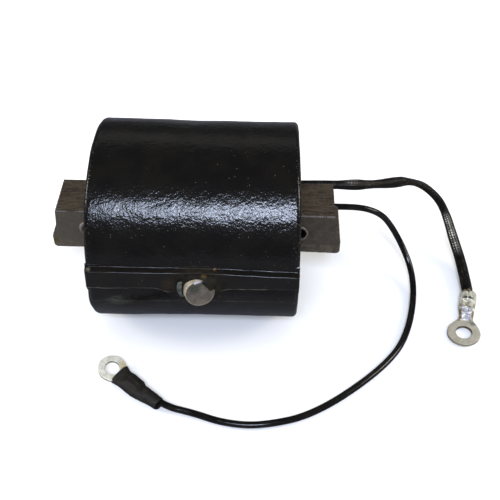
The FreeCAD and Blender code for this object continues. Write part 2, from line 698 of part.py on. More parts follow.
# Local frame: X from the barrel's mouth to the ring, Z up from the bearing face.
plate = cell("large_plate")
ring_x = 14.6
barrel_len = 6.4
ring_part = Part.makeCylinder(cell("large_ring"), plate, Vector(ring_x, 0, 0))
neck_pts = [(5.2, -1.9), (9.4, -1.75), (11.6, -2.7), (12.9, -4.0), (ring_x, -4.58),
            (ring_x, 4.58), (12.9, 4.0), (11.6, 2.7), (9.4, 1.75), (5.2, 1.9), (5.2, -1.9)]
neck = Part.Face(Part.makePolygon([Vector(a, b, 0) for a, b in neck_pts])).extrude(Vector(0, 0, plate))
barrel = Part.makeLoft([
    ellipse_wire(Vector(0, 0, 2.1), Vector(1, 0, 0), 4.1, 4.2),
    ellipse_wire(Vector(3.2, 0, 2.1), Vector(1, 0, 0), 4.5, 4.2),
    ellipse_wire(Vector(barrel_len, 0, 2.1), Vector(1, 0, 0), 4.1, 4.2)], True, False)
bore = Part.makeCylinder(1.45, barrel_len + 2, Vector(-1, 0, 2.1), Vector(1, 0, 0))
throat = Part.makeLoft([
    ellipse_wire(Vector(barrel_len, 0, 2.1), Vector(1, 0, 0), 4.1, 4.2),
    ellipse_wire(Vector(9.6, 0, 0.72), Vector(1, 0, 0), 3.4, 1.44)], True, False)
scoop = Part.makeLoft([
    ellipse_wire(Vector(barrel_len - 0.4, 0, 2.7), Vector(1, 0, 0), 2.9, 3.6),
    ellipse_wire(Vector(9.9, 0, 1.55), Vector(1, 0, 0), 2.7, 1.44)], True, False)
terminal = barrel.fuse(throat).cut(scoop).cut(bore).fuse(neck).fuse(ring_part)
terminal = terminal.cut(Part.makeCylinder(cell("large_hole"), 4, Vector(ring_x, 0, -1)))
terminal = terminal.cut(bore)
mouth = Vector(tip.x, tip.y, rest) - lead_in * 1.6
mouth = Vector(mouth.x, mouth.y, rest)
turn_dir = Vector(lead_in.x, lead_in.y, 0).normalize()
large = feature("ground_ring_terminal", into_place(terminal, mouth, turn_dir)).Shape

core_strands = Part.makeCylinder(1.0, 4.6, Vector(1.6, 0, 2.1), Vector(1, 0, 0))
solder = Part.makeCylinder(1.44, barrel_len - 1.6, Vector(1.6, 0, 2.1), Vector(1, 0, 0))
bead = Part.makeLoft([
    ellipse_wire(Vector(barrel_len - 0.2, 0, 2.15), Vector(1, 0, 0), 2.5, 2.3),
    ellipse_wire(Vector(9.2, 0, 1.55), Vector(1, 0, 0), 2.1, 1.0)], True, False)
solder = solder.fuse(bead).cut(core_strands)
feature("ground_terminal_solder", into_place(solder, mouth, turn_dir))
feature("ground_lead_strands", into_place(core_strands, mouth, turn_dir))

# --------------------------------------------------------- small ring terminal
# Local frame: X from the sleeve's open end to the ring, Z up from the rest level.
sp = cell("small_plate")
axis_z = 1.7
bend_x = 12.2
ring_run = 5.0
tilt = cell("small_tilt")
flat = Part.makeBox(bend_x - 10.2 + 0.25, 3.6, sp, Vector(10.2, -1.8, 0.5))
ring_s = Part.makeCylinder(cell("small_ring"), sp, Vector(ring_run / math.cos(math.radians(tilt)), 0, 0))
neck_s = [(-0.05, -1.8), (1.6, -2.1), (2.6, -3.0), (ring_run + 0.1, -3.78), (ring_run + 0.1, 3.78),
          (2.6, 3.0), (1.6, 2.1), (-0.05, 1.8), (-0.05, -1.8)]
ring_s = ring_s.fuse(Part.Face(Part.makePolygon([Vector(a, b, 0) for a, b in neck_s]))
                     .extrude(Vector(0, 0, sp)))
ring_s = ring_s.cut(Part.makeCylinder(cell("small_hole"), 4,
                                      Vector(ring_run / math.cos(math.radians(tilt)), 0, -1)))
ring_s.Placement = Placement(Vector(bend_x, 0, 0.5), Rotation(Vector(0, 1, 0), -tilt))
crimp = Part.makeLoft([
    ellipse_wire(Vector(7.0, 0, axis_z), Vector(1, 0, 0), 3.5, 2.4),
    ellipse_wire(Vector(10.8, 0, axis_z), Vector(1, 0, 0), 4.1, 2.4)], True, False)
wire_bore = Part.makeCylinder(0.6, 3.4, Vector(6.9, 0, axis_z), Vector(1, 0, 0))
small = crimp.fuse(flat).fuse(ring_s).cut(wire_bore)
place = Vector(sleeve_end.x, sleeve_end.y, rest)
small_shape = feature("primary_ring_terminal", into_place(small, place, small_dir)).Shape
feature("primary_lead_strands",
        into_place(Part.makeCylinder(0.6, 3.2, Vector(7.0, 0, axis_z), Vector(1, 0, 0)),
                   place, small_dir))

SLEEVE = [(0.0, 3.35, 3.4, 1.7), (6.3, 3.6, 3.4, 1.7), (8.4, 5.2, 3.4, 1.7),
          (11.0, 5.6, 3.2, 1.65), (13.0, 6.3, 2.5, 1.55), (14.7, 7.2, 2.0, 1.7)]
outer_s = Part.makeLoft([ellipse_wire(Vector(a, 0, d), Vector(1, 0, 0), b, c)
                         for a, b, c, d in SLEEVE], True, True)
inner_list = [(-0.5, 2.5, 2.52, 1.7)] + [(a, b - 0.84, c - 0.84, d) for a, b, c, d in SLEEVE[:-1]]
inner_list.append((14.9, 6.4, 1.16, 1.7))
inner_s = Part.makeLoft([ellipse_wire(Vector(a, 0, d), Vector(1, 0, 0), b, c)
                         for a, b, c, d in inner_list], True, True)
shrink = outer_s.cut(inner_s).cut(small)
shrink = max(shrink.Solids, key=lambda q: q.Volume)
feature("terminal_shrink_sleeve", into_place(shrink, place, small_dir))

# ----------------------------------------------------------------- check, write
doc.recompute()
for obj in doc.Objects:
    if "Invalid" in obj.State or "Error" in obj.State:
        raise RuntimeError("%s is %s" % (obj.Label, obj.State))
labels = [obj.Label for obj in PARTS]
if len(set(labels)) != len(labels):
    raise RuntimeError("two sub-parts share a name")
for obj in PARTS:
    if obj.Shape.isNull() or not obj.Shape.isValid() or obj.Shape.Volume <= 0:
        raise RuntimeError("%s has no valid solid" % obj.Label)
for obj in PARTS:
    box = obj.Shape.BoundBox
    print("%-26s solids %2d volume %9.2f  x %.2f %.2f  y %.2f %.2f  z %.2f %.2f" % (
        obj.Label, len(obj.Shape.Solids), obj.Shape.Volume,
        box.XMin, box.XMax, box.YMin, box.YMax, box.ZMin, box.ZMax))
    obj.Shape.exportStep("parts/%s.step" % obj.Label)
hole_local = Vector(bend_x, 0, 0.5) + Rotation(Vector(0, 1, 0), -tilt).multVec(
    Vector(ring_run / math.cos(math.radians(tilt)), 0, sp / 2))
turn = Rotation(Vector(1, 0, 0), small_dir)
print("small hole centre", place + turn.multVec(hole_local),
      "axis", turn.multVec(Rotation(Vector(0, 1, 0), -tilt).multVec(Vector(0, 0, 1))))
turn = Rotation(Vector(1, 0, 0), turn_dir)
print("large hole centre", mouth + turn.multVec(Vector(ring_x, 0, plate / 2)), "mouth", mouth, turn_dir)
print("button face", Vector(cell("button_along"), 0, 0) + out * cell("button_face"), out)
print("%d sub-parts" % len(PARTS))
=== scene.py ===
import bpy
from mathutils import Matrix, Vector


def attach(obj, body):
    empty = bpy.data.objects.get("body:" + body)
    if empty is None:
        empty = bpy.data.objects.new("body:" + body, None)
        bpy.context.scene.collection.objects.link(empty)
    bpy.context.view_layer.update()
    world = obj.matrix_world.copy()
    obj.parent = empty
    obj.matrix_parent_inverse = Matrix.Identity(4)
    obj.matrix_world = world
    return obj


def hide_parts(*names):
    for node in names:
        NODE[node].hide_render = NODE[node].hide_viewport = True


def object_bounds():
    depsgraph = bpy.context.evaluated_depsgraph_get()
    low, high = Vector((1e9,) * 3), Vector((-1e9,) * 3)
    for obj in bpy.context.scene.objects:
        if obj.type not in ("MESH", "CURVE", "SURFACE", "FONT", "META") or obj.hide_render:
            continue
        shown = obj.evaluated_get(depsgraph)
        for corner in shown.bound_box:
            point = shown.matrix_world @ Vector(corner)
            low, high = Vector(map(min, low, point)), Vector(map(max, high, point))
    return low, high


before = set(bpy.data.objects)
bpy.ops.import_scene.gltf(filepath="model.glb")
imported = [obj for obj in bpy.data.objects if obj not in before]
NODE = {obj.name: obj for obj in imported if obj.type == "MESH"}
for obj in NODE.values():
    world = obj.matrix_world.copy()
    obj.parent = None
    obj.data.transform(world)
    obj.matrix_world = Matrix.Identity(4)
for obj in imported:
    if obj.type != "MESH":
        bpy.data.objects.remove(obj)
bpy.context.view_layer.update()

import math
import random
import bpy
import bmesh
import numpy as np
from mathutils import Vector

random.seed(11)
MM = 0.001
scene = bpy.context.scene

# ------------------------------------------------------------------ camera
cam_data = bpy.data.cameras.new("camera")
cam = bpy.data.objects.new("camera", cam_data)
scene.collection.objects.link(cam)
cam_data.sensor_width = 36.0
cam_data.lens = 60.58
cam_data.clip_start = 0.005
cam_data.clip_end = 20.0
cam.location = (0.018592, -0.167771, 0.152674)
aim = Vector((0.013582, -0.005669, -0.006212)) - cam.location
cam.rotation_mode = "QUATERNION"
cam.rotation_quaternion = aim.to_track_quat("-Z", "Y")
scene.camera = cam
scene.view_settings.view_transform = "Standard"
scene.view_settings.look = "None"


# ------------------------------------------------------------------ noise
class Lattice:
    """Smooth repeatable 3-D gradient noise for shaping meshes."""

    def __init__(self, seed):
        r = np.random.default_rng(seed)
        p = r.permutation(256)
        self.p = np.concatenate([p, p, p])
        g = r.normal(size=(256, 3))
        self.g = g / np.linalg.norm(g, axis=1)[:, None]

    def __call__(self, pts, size):
        q = np.asarray(pts, float) / size + 37.3
        i = np.floor(q).astype(int)
        f = q - i
        i &= 255
        u = f * f * f * (f * (f * 6 - 15) + 10)
        out = 0.0
        for dx in (0, 1):
            for dy in (0, 1):
                for dz in (0, 1):
                    h = self.p[self.p[self.p[(i[..., 0] + dx) & 255] + ((i[..., 1] + dy) & 255)]
                               + ((i[..., 2] + dz) & 255)]
                    d = f - np.array([dx, dy, dz])
                    w = (u[..., 0] if dx else 1 - u[..., 0]) * (u[..., 1] if dy else 1 - u[..., 1]) \
                        * (u[..., 2] if dz else 1 - u[..., 2])
                    out = out + w * np.sum(self.g[h] * d, axis=-1)
        return out * 1.6

    def fbm(self, pts, size, octaves=3, gain=0.5):
        total, amp = 0.0, 1.0
        for k in range(octaves):
            total = total + amp * self(np.asarray(pts) + 13.7 * k, size / 2 ** k)
            amp *= gain
        return total


N1, N2, N3 = Lattice(3), Lattice(5), Lattice(8)


def smooth(x):
    x = np.clip(x, 0.0, 1.0)
    return x * x * (3 - 2 * x)


# ------------------------------------------------------------------ mesh help
def make(name, verts, faces, material, replaces=(), sharp=None):
    """Mesh object from millimetre points, in the row frame."""
    me = bpy.data.meshes.new(name)
    me.from_pydata([tuple(v) for v in (np.asarray(verts, float) * MM).tolist()], [], faces)
    bm = bmesh.new()
    bm.from_mesh(me)
    bmesh.ops.recalc_face_normals(bm, faces=bm.faces)
    bm.to_mesh(me)
    bm.free()
    for poly in me.polygons:
        poly.use_smooth = True
    if sharp:
        me.set_sharp_from_angle(angle=math.radians(sharp))
    me.materials.append(material)
    ob = bpy.data.objects.new(name, me)
    scene.collection.objects.link(ob)
    if replaces:
        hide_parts(*replaces)
    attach(ob, "root")
    return ob


def grid(n, m, base=0, wrap_n=False, wrap_m=True):
    faces = []
    for i in range(n if wrap_n else n - 1):
        a0, b0 = base + i * m, base + ((i + 1) % n) * m
        for j in range(m if wrap_m else m - 1):
            k = (j + 1) % m
            faces.append((a0 + j, a0 + k, b0 + k, b0 + j))
    return faces


def loft(sections, ring=False, cap=True):
    """Closed skin through sections (n, m, 3); flat ends fanned from a centre point unless it is a ring."""
    s = np.asarray(sections, float)
    n, m = s.shape[:2]
    verts = s.reshape(-1, 3)
    faces = grid(n, m, wrap_n=ring)
    if cap and not ring:
        c0, c1 = s[0].mean(axis=0), s[-1].mean(axis=0)
        verts = np.vstack([verts, c0, c1])
        for j in range(m):
            k = (j + 1) % m
            faces.append((n * m, k, j))
            faces.append((n * m + 1, (n - 1) * m + j, (n - 1) * m + k))
    return verts, faces


def joined(*parts):
    verts, faces, base = [], [], 0
    for v, f in parts:
        v = np.asarray(v, float)
        verts.append(v)
        faces += [tuple(i + base for i in q) for q in f]
        base += len(v)
    return np.vstack(verts), faces


def resample(line, count):
    line = np.asarray(line, float)
    d = np.concatenate([[0], np.cumsum(np.linalg.norm(np.diff(line, axis=0), axis=1))])
    t = np.linspace(0, d[-1], count)
    return np.stack([np.interp(t, d, line[:, k]) for k in range(line.shape[1])], axis=1)


def frames(line):
    """Tangent, side and up vectors that turn as little as possible along a line."""
    line = np.asarray(line, float)
    tan = np.gradient(line, axis=0)
    tan /= np.linalg.norm(tan, axis=1)[:, None]
    side = np.zeros_like(line)
    s = np.cross(tan[0], [0, 0, 1.0])
    s /= np.linalg.norm(s)
    for i, t in enumerate(tan):
        s = s - t * np.dot(s, t)
        s /= np.linalg.norm(s)
        side[i] = s
    return tan, side, np.cross(side, tan)


# ------------------------------------------------------------------ material help
class Mat:
    """A node material. Lengths are in millimetres: mm is the object's own position."""

    def __init__(self, name):
        self.m = bpy.data.materials.new(name)
        self.m.use_nodes = True
        self.t = self.m.node_tree
        self.t.nodes.clear()
        out = self.t.nodes.new("ShaderNodeOutputMaterial")
        self.b = self.t.nodes.new("ShaderNodeBsdfPrincipled")
        self.t.links.new(self.b.outputs[0], out.inputs[0])
        tc = self.t.nodes.new("ShaderNodeTexCoord")
        self.uv = tc.outputs["UV"]
        v = self.t.nodes.new("ShaderNodeVectorMath")
        v.operation = "SCALE"
        v.inputs["Scale"].default_value = 1000.0
        self.t.links.new(tc.outputs["Object"], v.inputs[0])
        self.mm = v.outputs[0]

    @classmethod
    def wrap(cls, material):
        """Pick up a finished material again."""
        m = cls.__new__(cls)
        m.m, m.t = material, material.node_tree
        m.b = next(n for n in m.t.nodes if n.type == "BSDF_PRINCIPLED")
        m.mm = next(n for n in m.t.nodes if n.type == "VECT_MATH" and n.operation == "SCALE").outputs[0]
        return m

    def put(self, socket, value):
        if isinstance(value, bpy.types.NodeSocket):
            self.t.links.new(value, socket)
        elif isinstance(value, (tuple, list)):
            if len(value) == 3 and len(socket.default_value) == 4:
                value = tuple(value) + (1.0,)
            socket.default_value = value
        else:
            socket.default_value = value
        return self

    def set(self, **kw):
        names = {"color": "Base Color", "rough": "Roughness", "metal": "Metallic", "normal": "Normal",
                 "spec": "Specular IOR Level", "coat": "Coat Weight", "coat_rough": "Coat Roughness",
                 "coat_normal": "Coat Normal", "sheen": "Sheen Weight", "sheen_rough": "Sheen Roughness",
                 "ior": "IOR", "sss": "Subsurface Weight", "tint": "Specular Tint", "coat_tint": "Coat Tint",
                 "sheen_tint": "Sheen Tint", "aniso": "Anisotropic"}
        for k, v in kw.items():
            self.put(self.b.inputs[names[k]], v)
        return self.m

    def scaled(self, factors, vec=None):
        v = self.t.nodes.new("ShaderNodeVectorMath")
        v.operation = "MULTIPLY"
        self.put(v.inputs[0], vec or self.mm)
        v.inputs[1].default_value = factors
        return v.outputs[0]

    def noise(self, per_mm, detail=3.0, rough=0.5, bend=0.0, vec=None, lac=2.0):
        n = self.t.nodes.new("ShaderNodeTexNoise")
        n.noise_dimensions = "3D"
        self.put(n.inputs["Vector"], vec or self.mm)
        n.inputs["Scale"].default_value = per_mm
        n.inputs["Detail"].default_value = detail
        n.inputs["Roughness"].default_value = rough
        n.inputs["Lacunarity"].default_value = lac
        n.inputs["Distortion"].default_value = bend
        return n.outputs["Fac"]

    def cells(self, per_mm, feature="F1", vec=None, want="Distance", smoothness=None, jitter=1.0):
        n = self.t.nodes.new("ShaderNodeTexVoronoi")
        n.feature = feature
        self.put(n.inputs["Vector"], vec or self.mm)
        n.inputs["Scale"].default_value = per_mm
        if smoothness is not None and "Smoothness" in n.inputs:
            n.inputs["Smoothness"].default_value = smoothness
        n.inputs["Randomness"].default_value = jitter
        return n.outputs[want]

    def math(self, op, a, b=0.0, c=None, clamp=False):
        n = self.t.nodes.new("ShaderNodeMath")
        n.operation = op
        n.use_clamp = clamp
        self.put(n.inputs[0], a)
        self.put(n.inputs[1], b)
        if c is not None:
            self.put(n.inputs[2], c)
        return n.outputs[0]

    def span(self, value, lo, hi, to_lo=0.0, to_hi=1.0, soft=True):
        n = self.t.nodes.new("ShaderNodeMapRange")
        n.interpolation_type = "SMOOTHSTEP" if soft else "LINEAR"
        n.clamp = True
        self.put(n.inputs["Value"], value)
        n.inputs["From Min"].default_value = lo
        n.inputs["From Max"].default_value = hi
        n.inputs["To Min"].default_value = to_lo
        n.inputs["To Max"].default_value = to_hi
        return n.outputs["Result"]

    def mix(self, fac, a, b, mode="MIX"):
        n = self.t.nodes.new("ShaderNodeMix")
        n.data_type = "RGBA"
        n.blend_type = mode
        self.put(n.inputs["Factor"], fac)
        self.put(n.inputs["A"] if False else n.inputs[6], a)
        self.put(n.inputs[7], b)
        return n.outputs[2]

    def axis(self, which, vec=None):
        n = self.t.nodes.new("ShaderNodeSeparateXYZ")
        self.put(n.inputs[0], vec or self.mm)
        return n.outputs["XYZ".index(which)]

    def normal_axis(self, which):
        g = self.t.nodes.new("ShaderNodeNewGeometry")
        n = self.t.nodes.new("ShaderNodeSeparateXYZ")
        self.t.links.new(g.outputs["Normal"], n.inputs[0])
        return n.outputs["XYZ".index(which)]

    def near(self, point, radius, soft=0.5, wobble=0.0, vec=None):
        """1 inside a ball round a point, fading out at its edge."""
        v = self.t.nodes.new("ShaderNodeVectorMath")
        v.operation = "DISTANCE"
        self.put(v.inputs[0], vec or self.mm)
        v.inputs[1].default_value = point
        d = v.outputs["Value"]
        if wobble:
            d = self.math("ADD", d, self.math("MULTIPLY", self.math("SUBTRACT", self.noise(1.1, 3), 0.5), wobble))
        return self.span(d, radius * (1 - soft), radius, 1.0, 0.0)

    def bump(self, height, depth_mm, normal=None, strength=1.0):
        n = self.t.nodes.new("ShaderNodeBump")
        n.inputs["Strength"].default_value = strength
        n.inputs["Distance"].default_value = depth_mm * MM
        self.put(n.inputs["Height"], height)
        if normal is not None:
            self.put(n.inputs["Normal"], normal)
        return n.outputs["Normal"]


# ------------------------------------------------------------------ materials
def varnish(name, peel=1.0, shine=0.16, warm=0.0, gunk=False, rim=False):
    """Thick black varnish over tape: orange peel, dust nibs, a few scuffs."""
    m = Mat(name)
    broad = m.noise(0.16, 3, 0.55)
    fine = m.noise(2.6, 2, 0.5, 0.6)
    peel_a = m.noise(1.75, 2.0, 0.5, 0.3)
    peel_b = m.noise(0.9, 2, 0.5, 0.3)
    nib_d = m.cells(0.80, "F1")
    nib = m.span(nib_d, 0.05, 0.17, 1.0, 0.0)
    pick = m.span(m.noise(0.31, 1), 0.53, 0.58)
    nib = m.math("MULTIPLY", nib, pick)
    base = m.mix(m.span(broad, 0.35, 0.68), (0.0040 + warm, 0.0037 + warm * 0.8, 0.0036 + warm * 0.5),
                 (0.0058 + warm, 0.0052 + warm * 0.8, 0.0044 + warm * 0.5))
    base = m.mix(m.math("MULTIPLY", nib, 0.24), base, (0.10, 0.09, 0.075))
    scuff = m.noise(0.9, 5, 0.7, 1.5, vec=m.scaled((1.0, 2.4, 2.4)))
    scuff = m.math("MULTIPLY", m.span(scuff, 0.66, 0.74), m.span(m.noise(0.11, 2), 0.52, 0.62))
    base = m.mix(m.math("MULTIPLY", scuff, 0.35), base, (0.06, 0.052, 0.04))
    rough = m.math("ADD", m.span(fine, 0.2, 0.8, shine * 0.8, shine * 1.35, soft=False),
                   m.math("MULTIPLY", scuff, 0.25))
    height = m.math("ADD", m.math("MULTIPLY", peel_a, 1.0), m.math("MULTIPLY", peel_b, 0.42))
    height = m.math("ADD", height, m.math("MULTIPLY", nib, 0.7))
    spec = 0.34
    if rim:
        # lighter specks along the two rims: partly varnish knocked off, partly painted highlight on the rounded rim
        # edges
        ends = m.span(m.math("ABSOLUTE", m.axis("X")), 23.9, 25.2)
        rim_chips_and_highlight = m.math("MULTIPLY", ends, m.span(m.noise(1.6, 3, 0.65), 0.59, 0.69))
        base = m.mix(m.math("MULTIPLY", rim_chips_and_highlight, 0.40), base, (0.115, 0.102, 0.078))
    if gunk:
        # matt brown residue round the button
        near = m.near((1.4, -27.6, 2.2), 9.0, 0.55, 2.5)
        cloud = m.span(m.noise(0.8, 4, 0.6), 0.35, 0.65)
        base = m.mix(m.math("MULTIPLY", near, 0.75), base, m.mix(cloud, (0.0085, 0.0068, 0.0042), (0.0165, 0.0130, 0.0080)))
        rough = m.math("ADD", rough, m.math("MULTIPLY", near, 0.36))
        spec = m.math("SUBTRACT", 0.34, m.math("MULTIPLY", near, 0.24))
    m.set(color=base, rough=rough, spec=spec, normal=m.bump(height, 0.074 * peel))
    return m


def amber_runs_and_highlights(m, spots):
    """Thin amber varnish runs near some points; a pale spot given among them is a painted highlight."""
    base = m.b.inputs["Base Color"].links[0].from_socket
    for point, radius, strength, color in spots:
        base = m.mix(m.math("MULTIPLY", m.near(point, radius, 0.8, 0.9), strength), base, color)
    m.set(color=base)
    return m.m


def pale_edge_line(m, a0, slope, width, color, strength, dips=(), curve=()):
    """A thin broken lighter line along the lower edge of a strip laid on the winding."""
    arc = m.math("MULTIPLY", m.math("ARCTAN2", m.axis("Z"), m.math("MULTIPLY", m.axis("Y"), -1.0)), 26.0)
    want = m.math("MULTIPLY_ADD", m.axis("X"), slope, a0)
    for x0, wide, deep in curve:
        t = m.math("MULTIPLY", m.math("SUBTRACT", m.axis("X"), x0), 1.0 / wide)
        bell = m.math("EXPONENT", m.math("MULTIPLY", m.math("MULTIPLY", t, t), -1.0))
        want = m.math("MULTIPLY_ADD", bell, -deep, want)
    off = m.math("ABSOLUTE", m.math("SUBTRACT", arc, m.math("ADD", want, m.math("MULTIPLY", m.math("SUBTRACT", m.noise(0.30, 2), 0.5), 0.35))))
    line = m.math("MULTIPLY", m.span(off, width * 0.35, width, 1.0, 0.0), m.span(m.noise(0.9, 3, 0.65), 0.36, 0.60, 0.25, 1.0))
    for point, radius in dips:
        line = m.math("MULTIPLY", line, m.math("SUBTRACT", 1.0, m.near(point, radius, 0.5)))
    base = m.b.inputs["Base Color"].links[0].from_socket
    m.set(color=m.mix(m.math("MULTIPLY", line, strength), base, color))
    return m


def fatter(x):
    """The winding is slightly thicker towards its left end."""
    return 0.36 * smooth((3.0 - x) / 26.0)


def on_skin(x, arc, height):
    """Point on the winding's skin: arc in mm round from the level line on the front, height above r 26."""
    x, arc, height = np.broadcast_arrays(np.asarray(x, float), np.asarray(arc, float), np.asarray(height, float))
    a = arc / 26.0
    r = 26.0 + height + fatter(x)
    return np.stack([x, -r * np.cos(a), r * np.sin(a)], axis=-1)


def spot(x, arc, height=1.2):
    return tuple(float(c) for c in on_skin(x, arc, height))


MAT_CASE = varnish("case_varnish", rim=True)
MAT_CASE = amber_runs_and_highlights(MAT_CASE, [(spot(5.60, 6.50, 0.1), 0.50, 0.80, (0.20, 0.095, 0.02))])
MAT_RAIL = varnish("strip_varnish", 0.7, 0.12, 0.001, True)
pale_edge_line(MAT_RAIL, 1.42, 0.006, 0.24, (0.085, 0.082, 0.066), 0.60,
          ((spot(-2.6, 0.6), 3.9), (spot(4.6, 0.8), 3.4)), ((-5.4, 2.3, 1.20), (6.3, 1.9, 0.85)))
amber_runs_and_highlights(MAT_RAIL, [(spot(2.95, 4.85, 1.4), 1.05, 0.60, (0.085, 0.055, 0.014)), (spot(5.60, 6.50, 0.2), 0.50, 0.80, (0.20, 0.095, 0.02)),
                 (spot(-6.0, 2.5), 2.4, 0.05, (0.16, 0.075, 0.018)),
                 # painted highlight: pale spot on the rounded left end of the strip
                 (spot(-25.2, 6.1, 0.9), 0.8, 0.6, (0.13, 0.12, 0.095))])
MAT_RAIL = MAT_RAIL.m
MAT_FLAP = pale_edge_line(varnish("flap_varnish", 0.7, 0.16, 0.0, True), -4.62, 0.014, 0.26, (0.055, 0.054, 0.046), 0.55).m
MAT_HEAP = amber_runs_and_highlights(varnish("heap_varnish", 0.9, 0.22, 0.002, True),
                 [(spot(2.95, 4.85, 1.4), 1.05, 0.60, (0.085, 0.055, 0.014)), (spot(5.3, 1.2, 2.2), 1.6, 0.06, (0.16, 0.075, 0.018)),
                  (spot(-4.3, 1.8, 1.6), 2.2, 0.06, (0.16, 0.075, 0.018))])


def iron():
    m = Mat("core_iron_oxide")
    x, y, z = m.axis("X"), m.axis("Y"), m.axis("Z")
    grain = m.noise(1.0, 5, 0.66, 0.9, vec=m.scaled((0.16, 1.9, 1.9)))
    grain2 = m.noise(1.0, 4, 0.6, 0.0, vec=m.scaled((0.28, 5.5, 5.5)))
    blotch = m.noise(0.62, 5, 0.7, 0.9)
    speck = m.noise(3.2, 3, 0.6)
    up = m.span(m.normal_axis("Z"), 0.55, 0.85)
    brown = m.mix(m.span(m.math("MULTIPLY_ADD", m.math("SUBTRACT", blotch, 0.5), 0.9, grain), 0.34, 0.68), (0.036, 0.027, 0.018), (0.112, 0.088, 0.058))
    brown = m.mix(m.math("MULTIPLY", m.span(grain2, 0.45, 0.75), 0.55), brown, (0.062, 0.047, 0.029))
    rust = m.span(blotch, 0.55, 0.66)
    brown = m.mix(m.math("MULTIPLY", rust, 0.55), brown, (0.050, 0.022, 0.009))
    grey = m.mix(m.span(blotch, 0.36, 0.66), (0.056, 0.047, 0.036), (0.092, 0.077, 0.057))
    grey = m.mix(m.math("MULTIPLY", m.span(speck, 0.42, 0.7), 0.35), grey, (0.040, 0.032, 0.024))
    left = m.span(x, -10.0, 10.0, 1.0, 0.0)
    grey = m.mix(m.math("MULTIPLY", left, 0.5), grey, (0.105, 0.090, 0.070))
    # tan wear low on the front of the right end, yellow varnish on the left toe
    tan = m.math("MULTIPLY", m.span(z, -2.6, -3.6), m.span(m.noise(0.7, 4, 0.65), 0.42, 0.56))
    grey = m.mix(m.math("MULTIPLY", tan, 0.75), grey, (0.125, 0.100, 0.070))
    toe = m.near((-38.4, -6.0, -3.6), 1.3, 0.8, 0.8)
    grey = m.mix(m.math("MULTIPLY", toe, 0.8), grey, (0.085, 0.062, 0.012))
    base = m.mix(up, grey, brown)
    base = m.mix(1.0, base, (0.84, 0.82, 0.80), "MULTIPLY")
    # bare bright burr along the front top arris, broken
    near_top = m.span(z, 6.58, 6.74)
    near_front = m.span(y, -5.72, -5.88)
    broken = m.span(m.noise(1.0, 2, 0.6, 0, vec=m.scaled((0.75, 0.05, 0.05))), 0.38, 0.54)
    burr = m.math("MULTIPLY", m.math("MULTIPLY", near_top, near_front), broken)
    base = m.mix(m.math("MULTIPLY", burr, 0.9), base, (0.40, 0.38, 0.38))
    metal = m.math("ADD", 0.25, m.math("MULTIPLY", burr, 0.6))
    rough = m.math("SUBTRACT", m.span(grain, 0.3, 0.7, 0.62, 0.46), m.math("MULTIPLY", burr, 0.2))
    h = m.math("ADD", m.math("MULTIPLY", grain, 0.8), m.math("MULTIPLY", m.math("ADD", speck, grain2), 0.35))
    m.set(color=base, metal=metal, rough=rough, spec=0.4, normal=m.bump(h, 0.09))
    return m.m


def plated(name, light, dark, metal, rough_lo, rough_hi, size=1.0, depth=0.03, flux=(), flux_color=(0.20, 0.12, 0.02),
           edge=None, painted_bore_shade=None, painted_hole_shade=()):
    """Dull plated or tinned metal: clouded tone, fine scratches, flux stains near given points."""
    m = Mat(name)
    cloud = m.noise(0.55 / size, 4, 0.6, 0.5)
    fine = m.noise(3.2 / size, 4, 0.65)
    scratch = m.noise(1.0, 3, 0.6, 0.3, vec=m.scaled((0.5, 5.0, 1.2)))
    base = m.mix(m.span(cloud, 0.34, 0.66), dark, light)
    base = m.mix(m.math("MULTIPLY", m.span(fine, 0.5, 0.72), 0.35), base, tuple(c * 0.6 for c in dark))
    rough = m.math("ADD", m.span(fine, 0.25, 0.75, rough_lo, rough_hi, soft=False),
                   m.math("MULTIPLY", m.math("SUBTRACT", scratch, 0.5), 0.18))
    if edge:
        steep = m.span(m.math("ABSOLUTE", m.normal_axis("Z")), 0.86, 0.35)
        base = m.mix(m.math("MULTIPLY", steep, edge[1]), base, edge[0])
    # painted shade: the wall of the ring's hole made darker
    for point, radius, color in [painted_bore_shade] if painted_bore_shade else []:
        base = m.mix(m.near(point, radius, 0.06), base, color)
    # painted shade: the inside of a hole made near black
    for point, radius, color in painted_hole_shade:
        flat = m.scaled((1.0, 0.0, 1.0))
        base = m.mix(m.near(point, radius, 0.10, 0.0, flat), base, color)
    for point, radius, strength in flux:
        k = m.math("MULTIPLY", m.near(point, radius, 0.7, 1.4), strength)
        base = m.mix(k, base, flux_color)
        rough = m.math("ADD", rough, m.math("MULTIPLY", k, 0.1))
    h = m.math("ADD", fine, m.math("MULTIPLY", scratch, 0.4))
    m.set(color=base, metal=metal, rough=rough, normal=m.bump(h, depth))
    return m.m


